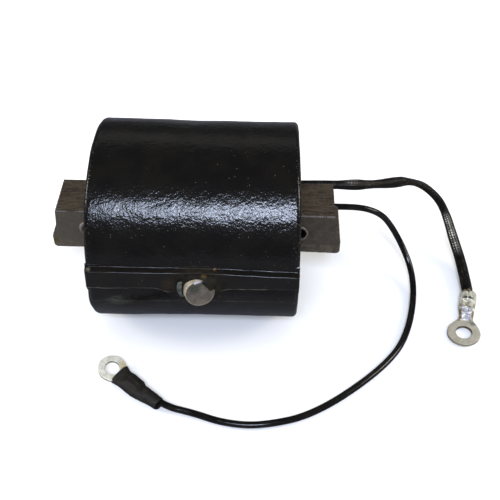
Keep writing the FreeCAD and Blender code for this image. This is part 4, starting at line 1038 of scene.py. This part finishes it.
def ring_plate(centre, hole, ring, neck, thick, place, n=220, lumps=0.02, bow=0.0):
    """Stamped ring with its neck. neck lists points on the two sides of the neck, from the ring outwards."""
    open_at = math.radians(neck["from"])
    circle = [(centre + ring * math.cos(b), ring * math.sin(b)) for b in np.linspace(-open_at, open_at, 140)]
    poly = circle + neck["plus"] + neck["minus"][::-1]
    b = np.linspace(0, 2 * np.pi, n, endpoint=False)
    R = ray_outline(poly, np.array([centre, 0.0]), b)
    for _ in range(2):
        R = (np.roll(R, 1) + 2 * R + np.roll(R, -1)) / 4
    R = R + 0.03 * np.sin(5 * b + 1) + 0.02 * np.sin(9 * b)
    e = min(0.16, thick * 0.22)
    prof = []
    rh = hole + 0.015 * np.sin(3 * b)
    one = np.ones_like(b)
    prof.append((rh, e * one))
    prof.append((rh, (thick - e) * one))
    prof.append((rh + 0.3 * e, (thick - 0.3 * e) * one))
    prof.append((rh + e, thick * one))
    for t in np.linspace(0, 1, 16)[1:-1]:
        prof.append((rh + e + (R - rh - 2 * e) * t, thick * one))
    prof.append((R - e, thick * one))
    prof.append((R - 0.3 * e, (thick - 0.3 * e) * one))
    prof.append((R, (thick - e) * one))
    prof.append((R, e * one))
    prof.append((R - 0.3 * e, 0.3 * e * one))
    prof.append((R - e, 0 * one))
    prof.append(((rh + R) / 2, 0 * one))
    prof.append((rh + e, 0 * one))
    rows = []
    for rho, z in prof:
        s, l = centre + rho * np.cos(b), rho * np.sin(b)
        p = place(s, l, z)
        z = z + (z > thick * 0.5) * (lumps * N2.fbm(p, 1.8, 2)) + bow * (rho / ring) ** 2
        rows.append(place(s, l, z))
    return loft(np.array(rows), ring=True)


def two_tone(name, a, b, mat_a, mat_b, replaces):
    v, f = joined(a, b)
    ob = make(name, v, f, mat_a, replaces)
    ob.data.materials.append(mat_b)
    count = len(a[1])
    for i, poly in enumerate(ob.data.polygons):
        poly.material_index = 0 if i < count else 1
    return ob


FLUX = (0.15, 0.075, 0.015)
MAT_BIG_RING = plated("tinned_ring", (0.44, 0.41, 0.33), (0.34, 0.315, 0.25), 0.25, 0.42, 0.60, 0.8, 0.035,
                      flux=[(BIG.spot(10.7, 1.5, 1.0), 1.3, 0.35), (BIG.spot(10.6, -1.9, 0.9), 0.9, 0.7)],
                      flux_color=(0.19, 0.150, 0.075), edge=((0.17, 0.14, 0.085), 0.75),
                      # painted shade on the wall of the ring's hole
                      painted_bore_shade=(BIG.spot(14.86, -0.15, 0.84), 2.34, (0.085, 0.055, 0.028)))
MAT_BIG_BARREL = plated("tinned_barrel", (0.76, 0.74, 0.63), (0.46, 0.44, 0.34), 0.40, 0.20, 0.40, 0.5, 0.05,
                        flux=[(BIG.spot(7.9, -1.7, 1.4), 1.7, 0.9), (BIG.spot(9.6, -1.7, 1.0), 1.4, 0.9),
                              (BIG.spot(8.4, 2.2, 1.3), 1.6, 0.85), (BIG.spot(9.8, 2.1, 1.0), 1.2, 0.6),
                              (BIG.spot(6.6, 1.0, 2.5), 0.8, 0.7), (BIG.spot(1.1, 0.5, 3.1), 0.9, 0.25)],
                        flux_color=FLUX)
MAT_SOLDER = plated("soft_solder", (0.84, 0.84, 0.85), (0.40, 0.40, 0.43), 0.50, 0.18, 0.32, 0.42, 0.06,
                    flux=[(BIG.spot(7.7, 0.9, 2.0), 0.6, 0.5), (BIG.spot(7.9, -0.8, 1.8), 0.45, 0.5)], flux_color=FLUX)
MAT_SMALL_RING = plated("bright_tinned_ring", (0.76, 0.745, 0.66), (0.56, 0.545, 0.46), 0.30, 0.34, 0.52, 0.8, 0.03,
                        flux=[(SMALL.spot(14.9, -1.6, 1.8), 1.7, 0.75), (SMALL.spot(16.2, -2.6, 1.9), 1.5, 0.55),
                              (SMALL.spot(14.9, 2.3, 1.6), 1.2, 0.30)], flux_color=(0.42, 0.34, 0.11),
                        # painted shade on the wall of the ring's hole
                        edge=((0.20, 0.17, 0.11), 0.8), painted_bore_shade=(SMALL.spot(17.05, 0.28, 2.22), 2.07, (0.13, 0.115, 0.085)))


def grime_shade_and_highlights(material, lines, patches):
    """Dark lines across the big terminal (given by their distance along it) and coloured patches: stains, painted
    shade, painted shadow, painted highlights and painted reflections.
    """
    m = Mat.wrap(material)
    base = m.b.inputs["Base Color"].links[0].from_socket
    rel = m.t.nodes.new("ShaderNodeVectorMath")
    rel.operation = "SUBTRACT"
    m.put(rel.inputs[0], m.mm)
    rel.inputs[1].default_value = tuple(float(c) for c in BIG.o)

    def along(direction):
        d = m.t.nodes.new("ShaderNodeVectorMath")
        d.operation = "DOT_PRODUCT"
        m.put(d.inputs[0], rel.outputs[0])
        d.inputs[1].default_value = tuple(float(c) for c in direction)
        return d.outputs["Value"]

    s, l = along(BIG.d), along(BIG.l)
    for s0, l0, wing, curve, width, reach, strength, color in lines:
        a = m.math("DIVIDE", m.math("SUBTRACT", m.math("ABSOLUTE", m.math("SUBTRACT", l, l0)), wing), wing)
        want = m.math("MULTIPLY_ADD", m.math("MULTIPLY", a, a), curve, s0)
        off = m.math("ABSOLUTE", m.math("SUBTRACT", s, m.math("ADD", want, m.math("MULTIPLY", m.math("SUBTRACT", m.noise(1.3, 2), 0.5), 0.3))))
        k = m.math("MULTIPLY", m.span(off, width * 0.4, width, 1.0, 0.0),
                   m.span(m.math("ABSOLUTE", m.math("SUBTRACT", l, l0)), reach * 0.8, reach, 1.0, 0.0))
        base = m.mix(m.math("MULTIPLY", k, strength), base, color)
    for point, radius, strength, color in patches:
        base = m.mix(m.math("MULTIPLY", m.near(point, radius, 0.6, 0.7), strength), base, color)
    m.set(color=base)


grime_shade_and_highlights(MAT_BIG_BARREL,
      # the first line is painted shade under the step where the two wings end
      [(3.14, 0.28, 0.95, 0.40, 0.19, 1.60, 0.92, (0.045, 0.037, 0.028)),
       (6.25, 0.30, 1.0, 0.0, 0.24, 2.3, 0.60, (0.13, 0.10, 0.055)),
       (1.05, 0.50, 1.0, 0.0, 0.22, 2.2, 0.55, (0.16, 0.11, 0.06))],
      # the first patch makes the crimp dimple darker; the two near-white ones are painted highlights below the wing
      # ends and on the seam; the last two are stains
      [(BIG.spot(4.9, 0.30, 2.2), 1.15, 0.60, (0.20, 0.185, 0.125)), (BIG.spot(3.7, 0.30, 2.7), 0.40, 0.7, (0.92, 0.92, 0.90)),
       (BIG.spot(1.9, 0.25, 3.0), 0.45, 0.6, (0.92, 0.92, 0.90)), (BIG.spot(5.6, 2.3, 2.0), 1.0, 0.5, (0.20, 0.17, 0.11)),
       (BIG.spot(5.9, -1.4, 2.0), 0.9, 0.5, (0.20, 0.16, 0.10))])
grime_shade_and_highlights(MAT_SOLDER, [(7.80, 0.10, 1.0, 0.0, 0.22, 1.5, 0.65, (0.16, 0.14, 0.13))],
      # the patches are painted: a bluish-grey shadow in the middle of the solder and two blue-purple reflections
      [(BIG.spot(9.0, 0.25, 1.5), 1.0, 0.65, (0.36, 0.40, 0.47)), (BIG.spot(7.0, -0.7, 2.5), 0.50, 0.5, (0.28, 0.27, 0.35)),
       (BIG.spot(7.0, 1.5, 2.4), 0.55, 0.6, (0.18, 0.18, 0.26))])
grime_shade_and_highlights(MAT_BIG_RING, [], [(BIG.spot(11.35, 2.25, 0.85), 1.25, 0.9, (0.150, 0.168, 0.160))])
MAT_FRAY = plated("frayed_yarn", (0.50, 0.42, 0.27), (0.16, 0.10, 0.05), 0.0, 0.7, 0.9, 0.4, 0.05)


def big_half_width(s):
    lo = np.interp(s, [0, 1.2, 3.1, 4.6, 6.1, 7.9, 9.0, 10.0, 10.9, 11.6], [1.60, 1.56, 1.76, 1.88, 1.94, 1.66, 1.54, 1.58, 1.85, 2.3])
    hi = np.interp(s, [0, 0.7, 2.6, 4.5, 5.4, 7.1, 8.2, 9.7, 10.5, 11.6], [2.52, 2.84, 2.92, 2.80, 2.58, 2.42, 2.32, 2.14, 2.2, 2.6])
    return lo, hi


def big_top(s, l, q):
    """Height of the crimped barrel: two rolled wings, the pinched waist with its dimple, then the open trough."""
    qs = q + 0.14
    edge = 3.02 + 0.50 * ((np.abs(qs) - 0.45) / 0.45) ** 2
    wings = 3.46 - 0.55 * np.exp(-(qs / 0.085) ** 2) - 0.30 * (1 - smooth((s - 0.85) / 0.4)) + 0.12 * np.cos(qs * 6.2)
    dim_w = np.clip(0.56 - 0.15 * (s - 3.6), 0.08, 1)
    waist = 2.62 - 0.80 * np.clip(1 - np.abs(qs) / dim_w, 0, 1) ** 0.8 * smooth((s - 3.6) / 0.5) * (1 - smooth((s - 5.6) / 0.8))
    waist = waist + 0.22 * np.exp(-((s - 3.62) / 0.16) ** 2)
    walls = np.interp(s, [5.8, 6.6, 8.0, 9.6, 10.6, 11.6], [2.60, 2.45, 1.95, 1.25, 0.95, 0.84])
    trough = 0.92 + 0.0 * s
    inner = smooth((0.74 - np.abs(q)) / 0.10) * smooth((s - 6.4) / 0.5)
    third = walls * (1 - inner) + np.minimum(trough, walls) * inner
    k1 = smooth((s - edge + 0.07) / 0.14)
    k2 = smooth((s - 5.9) / 0.6)
    return (wings * (1 - k1) + waist * k1) * (1 - k2) + third * k2


def big_terminal():
    rows = []
    for s in np.concatenate([[0.85, 0.89, 0.95], np.linspace(1.0, 6.5, 150), np.linspace(6.55, 11.5, 70)]):
        lo, hi = big_half_width(s)
        mid, half = (hi - lo) / 2, (hi + lo) / 2
        shrink = 1 - 0.08 * (1 - smooth((s - 0.85) / 0.3))
        q = -np.cos(np.linspace(0, np.pi, 90)) * 0.9995
        side = np.interp(s, [0, 5.8, 8.0, 10.5, 11.6], [1.55, 1.3, 0.95, 0.5, 0.42])
        top = big_top(s, q * half, q)
        power = np.interp(s, [0, 5.5, 7.0, 11.6], [2.4, 2.6, 6.0, 8.0])
        z = side + (top - side) * (1 - np.abs(q) ** power) ** (1 / 2.0)
        z = np.maximum(z, np.minimum(side, 0.5))
        l = mid + half * q * shrink
        qb = np.cos(np.linspace(0, np.pi, 22))[1:-1]
        zb = side - side * (1 - np.abs(qb) ** 2.4) ** 0.5 + 0.02
        l2 = mid + half * qb * shrink
        p = BIG(s, np.concatenate([l, l2]), np.concatenate([z, zb]))
        p[:, 2] += np.concatenate([np.ones(90), np.zeros(20)]) * 0.035 * N2.fbm(p, 1.1, 3)
        rows.append(p)
    barrel = loft(np.array(rows))
    plate = ring_plate(14.86, 2.18, 4.45,
                       {"from": 126, "plus": [(11.3, 3.15), (10.6, 2.7), (9.9, 2.42), (8.6, 2.3)],
                        "minus": [(11.3, -2.70), (10.6, -2.10), (9.9, -1.63), (8.6, -1.45)]}, 0.85,
                       lambda s, l, z: BIG(s, np.asarray(l) - 0.15,
                                           z + 0.05 * (np.asarray(l) + 4.6) * smooth((np.asarray(s) - 9.8) / 2.4)))
    return two_tone("ground_terminal", barrel, plate, MAT_BIG_BARREL, MAT_BIG_RING, ("ground_ring_terminal",))


def solder_pool():
    rows = []
    for s in np.linspace(6.3, 10.45, 84):
        lo, hi = big_half_width(s)
        mid, half = (hi - lo) / 2 - 0.10, (hi + lo) / 2
        q = np.linspace(-1, 1, 46)
        w = half * 0.70 * (1 - 0.45 * smooth((s - 9.7) / 0.75)) * (0.30 + 0.70 * smooth((s - 6.25) / 0.5))
        base = np.interp(s, [6.3, 6.7, 7.2, 7.6, 8.1, 9.3, 10.0, 10.45], [2.35, 2.60, 2.62, 2.30, 1.72, 1.34, 1.16, 0.86])
        z = base + 0.30 * q ** 2 * np.interp(s, [6.3, 7.4, 9.0, 10.4], [-0.5, 0.5, 1.0, 0.0])
        l = mid + w * q
        p = BIG(s, l, z)
        z = z + 0.22 * N1.fbm(p, 1.3, 3) * np.interp(s, [6.3, 7.4, 8, 10.4], [1.2, 1.2, 1.0, 0.6])
        z = z + 0.10 * N2(p, 0.6) - 0.24 * np.exp(-((s - 7.9) / 0.25) ** 2 - ((l + 0.45) / 0.45) ** 2)
        z = z - 0.5 * (1 - smooth((1 - np.abs(q)) / 0.10)) * 0.35
        zb = np.full(12, 0.55)
        rows.append(np.vstack([BIG(s, l, z), BIG(s, mid + w * np.linspace(1, -1, 12), zb)]))
    v, f = loft(np.array(rows))
    return make("solder_pool", v, f, MAT_SOLDER, ("ground_terminal_solder", "ground_lead_strands"), 75)


def fray():
    """Yarn ends of the braid where it goes into the barrel."""
    r = random.Random(4)
    parts = []
    ph6 = np.linspace(0, 2 * np.pi, 7, endpoint=False)
    for i in range(46):
        turn = r.uniform(-0.15, math.pi + 0.15)
        rad = 1.30
        c = 0.45
        s0 = r.uniform(0.25, 0.70)
        reach = r.uniform(0.35, 1.0)
        lean = r.uniform(-0.5, 0.5)
        lift = r.uniform(0.12, 0.42)
        pts = []
        for t in np.linspace(0, 1, 7):
            rr = rad + lift * math.sin(t * 2.4) * (1.0 - 0.35 * t) + 0.42 * t * smooth(np.array(t * 1.2))
            a = turn + lean * t * 0.5
            pts.append(BIG(s0 + reach * t, c + rr * math.cos(a), 1.72 + rr * math.sin(a) * 1.05))
        pts = np.array(pts)
        tan, side, up = frames(pts)
        w = r.uniform(0.045, 0.085)
        rows = [pts[k] + w * (1 - 0.5 * k / 6) * (np.cos(ph6)[:, None] * side[k] + np.sin(ph6)[:, None] * up[k])
                for k in range(7)]
        parts.append(loft(np.array(rows)))
    v, f = joined(*parts)
    ob = make("frayed_braid_end", v, f, MAT_FRAY)
    return ob


TILT = math.radians(15.0)


def tilted(u, l, v):
    return SMALL(12.2 + np.asarray(u) * math.cos(TILT) - np.asarray(v) * math.sin(TILT), l,
                 0.5 + np.asarray(u) * math.sin(TILT) + np.asarray(v) * math.cos(TILT))


def small_terminal():
    centre = 5.0 / math.cos(TILT)
    plate = ring_plate(centre - 0.05, 1.93, 3.72,
                       {"from": 132, "plus": [(1.9, 2.35), (1.2, 2.0), (0.2, 1.8), (-1.6, 1.7)],
                        "minus": [(1.9, -2.45), (1.2, -2.1), (0.2, -1.8), (-1.6, -1.7)]}, 0.8,
                       lambda u, l, v: tilted(u, np.asarray(l) + 0.28, v), lumps=0.03)
    rows = []
    ph = np.linspace(0, 2 * np.pi, 40, endpoint=False)
    for s in np.linspace(7.0, 11.6, 40):
        t = smooth(np.array((s - 10.2) / 1.4))
        w, h, zc = 1.75 + 0.1 * t, 1.15 - 0.70 * t, 1.7 - 0.75 * t
        l, z = w * np.cos(ph), zc + h * np.sin(ph)
        z = z - 0.3 * (1 - t) * np.exp(-(l / 0.3) ** 2) * (np.sin(ph) > 0)
        rows.append(SMALL(s, l, z))
    return two_tone("primary_terminal", plate, loft(np.array(rows)), MAT_SMALL_RING, MAT_SMALL_RING,
                    ("primary_ring_terminal",))


def sleeve():
    """Heat-shrink over the crimp: shrunk tight on the lead's side, stepped at the crimp, flared flat at its mouth."""
    m = 84
    ph = np.linspace(0, 2 * np.pi, m, endpoint=False)

    def section(s, inset, skew=0.0):
        lo = np.interp(s, [0, 2.4, 4.9, 6.5, 6.95, 7.5, 9.2, 11.2, 12.9, 13.6, 14.5, 15.3],
                       [1.62, 1.68, 1.66, 1.68, 1.92, 2.20, 2.36, 2.46, 2.52, 2.78, 3.22, 3.32])
        hi = np.interp(s, [0, 2.2, 4.0, 6.0, 7.7, 10.0, 12.8, 14.7, 15.3],
                       [1.58, 1.86, 2.20, 2.62, 2.84, 2.84, 2.74, 2.95, 3.0])
        top = np.interp(s, [0, 3, 6.2, 7.0, 10.9, 12.2, 13.6, 15.3], [3.30, 3.35, 3.40, 3.55, 3.50, 3.0, 2.45, 2.45])
        bot = np.interp(s, [0, 3, 7, 11, 13, 15.3], [0.05, 0.04, 0.03, 0.05, 0.15, 0.45])
        mid, half = (hi - lo) / 2, (hi + lo) / 2 - inset
        zc, hz = (top + bot) / 2, (top - bot) / 2 - inset
        p = 2.25
        c, t = np.cos(ph), np.sin(ph)
        l = mid + 0.14 + half * np.sign(c) * np.abs(c) ** (2 / p)
        z = zc + hz * np.sign(t) * np.abs(t) ** (2 / p)
        up = (t > 0) * np.abs(t)
        if inset < 0.1:
            crimp = smooth((s - 6.6) / 0.7) * (1 - smooth((s - 10.6) / 0.9))
            z = z + up * crimp * (0.08 * np.exp(-((l - mid - 0.75) / 0.5) ** 2) + 0.08 * np.exp(-((l - mid + 0.85) / 0.5) ** 2)
                                  - 0.08 * np.exp(-((l - mid) / 0.35) ** 2))
            z = z - up * 0.34 * np.exp(-((s - 12.6 + 0.10 * (l - mid)) / 0.38) ** 2) * np.exp(-((l - mid + 0.3) / 1.9) ** 2)
            z = z + up * 0.12 * np.exp(-((s - 5.2) / 1.6) ** 2)
        return s + skew * (l - mid), l, z

    rows = []
    stations = np.concatenate([[0.0, 0.05, 0.14, 0.28], np.linspace(0.45, 14.7, 84), [14.82, 14.92, 14.98]])
    for s in stations:
        rim = 0.16 * (1 - smooth(np.array(s / 0.28))) + 0.14 * smooth(np.array((s - 14.75) / 0.23))
        skew = -0.07 * smooth(np.array((s - 11.0) / 4.0)) + 0.05 * (1 - smooth(np.array(s / 3.0)))
        q, l, z = section(s, float(rim) if rim < 0.1 else 0.099, float(skew))
        p = SMALL(q, l, z)
        d = 0.07 * N1.fbm(p, 2.4, 3) + 0.028 * N3(p, 0.8)
        centre = SMALL(q, 0 * l + l.mean(), 0 * z + z.mean())
        n = (p - centre)
        n /= np.linalg.norm(n, axis=1)[:, None]
        p = p + n * np.where(z < 0.5, 0.25, 1.0)[:, None] * d[:, None]
        rows.append(p)
    for s in np.concatenate([[14.96, 14.85, 14.6], np.linspace(13.8, 0.6, 26), [0.2, 0.06]]):
        skew = -0.07 * smooth(np.array((s - 11.0) / 4.0)) + 0.05 * (1 - smooth(np.array(s / 3.0)))
        inset = 0.30 if s > 14.9 or s < 0.1 else 0.42
        q, l, z = section(s, inset, float(skew))
        rows.append(SMALL(q, l, z))
    v, f = loft(np.array(rows), ring=True)
    return make("shrunk_terminal_sleeve", v, f, MAT_SHRINK, ("terminal_shrink_sleeve",))


big_ob = big_terminal()
pool_ob = solder_pool()
fray_ob = fray()
small_ob = small_terminal()
sleeve_ob = sleeve()
paint("primary_lead_strands", MAT_COPPER)

# ------------------------------------------------------------------ floor, light
fm = Mat("floor_paper")
fm.set(color=fm.mix(fm.noise(0.02, 3), (0.88, 0.88, 0.885), (0.91, 0.91, 0.91)), rough=0.9, spec=0.1,
       normal=fm.bump(fm.noise(1.5, 2), 0.01))
dim = fm.t.nodes.new("ShaderNodeBsdfDiffuse")
dim.inputs["Color"].default_value = (0.13, 0.133, 0.15, 1.0)
both = fm.t.nodes.new("ShaderNodeMixShader")
path = fm.t.nodes.new("ShaderNodeLightPath")
fm.t.links.new(path.outputs["Is Glossy Ray"], both.inputs[0])
fm.t.links.new(fm.b.outputs[0], both.inputs[1])
fm.t.links.new(dim.outputs[0], both.inputs[2])
fm.t.links.new(both.outputs[0], next(n for n in fm.t.nodes if n.type == "OUTPUT_MATERIAL").inputs[0])
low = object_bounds()[0][2]
me = bpy.data.meshes.new("floor")
h = 3.0
me.from_pydata([(-h, -h, low - 2e-5), (h, -h, low - 2e-5), (h, h, low - 2e-5), (-h, h, low - 2e-5)], [], [(0, 1, 2, 3)])
me.materials.append(fm.m)
floor = bpy.data.objects.new("floor", me)
scene.collection.objects.link(floor)


def area(name, where, at, size, power, color, size_y=None):
    li = bpy.data.lights.new(name, "AREA")
    li.shape = "RECTANGLE" if size_y else "SQUARE"
    li.size = size
    if size_y:
        li.size_y = size_y
    li.energy = power
    li.color = color
    ob = bpy.data.objects.new(name, li)
    ob.location = where
    ob.rotation_mode = "QUATERNION"
    ob.rotation_quaternion = (Vector(at) - Vector(where)).to_track_quat("-Z", "Y")
    scene.collection.objects.link(ob)
    return ob


area("front_light", (-0.02, -0.62, 0.72), (0.0, 0.0, 0.0), 0.32, 5.0, (0.70, 0.79, 1.0), 0.17)
area("front_fill", (0.075, -0.64, 0.74), (0.0, 0.0, 0.0), 0.10, 1.9, (0.70, 0.79, 1.0), 0.17)
area("left_light", (-0.75, -0.02, 0.42), (0, 0, 0), 0.30, 3.0, (1.0, 0.93, 0.82), 0.30)
area("right_light", (0.75, -0.02, 0.42), (0, 0, 0), 0.30, 3.0, (1.0, 0.93, 0.82), 0.30)
area("back_light", (0.0, 0.9, 0.7), (0, 0, 0), 0.8, 0.30, (1.0, 0.97, 0.93), 0.4)

world = bpy.data.worlds.new("studio")
world.use_nodes = True
nt = world.node_tree
nt.nodes.clear()
wo = nt.nodes.new("ShaderNodeOutputWorld")
b1 = nt.nodes.new("ShaderNodeBackground")
b2 = nt.nodes.new("ShaderNodeBackground")
mixs = nt.nodes.new("ShaderNodeMixShader")
lp = nt.nodes.new("ShaderNodeLightPath")
b1.inputs[0].default_value = (1, 1, 1, 1)
b1.inputs[1].default_value = 0.85
b2.inputs[0].default_value = (0.92, 0.95, 1.0, 1)
b2.inputs[1].default_value = 0.06
nt.links.new(lp.outputs["Is Glossy Ray"], mixs.inputs[0])
nt.links.new(b1.outputs[0], mixs.inputs[1])
nt.links.new(b2.outputs[0], mixs.inputs[2])
nt.links.new(mixs.outputs[0], wo.inputs[0])
scene.world = world
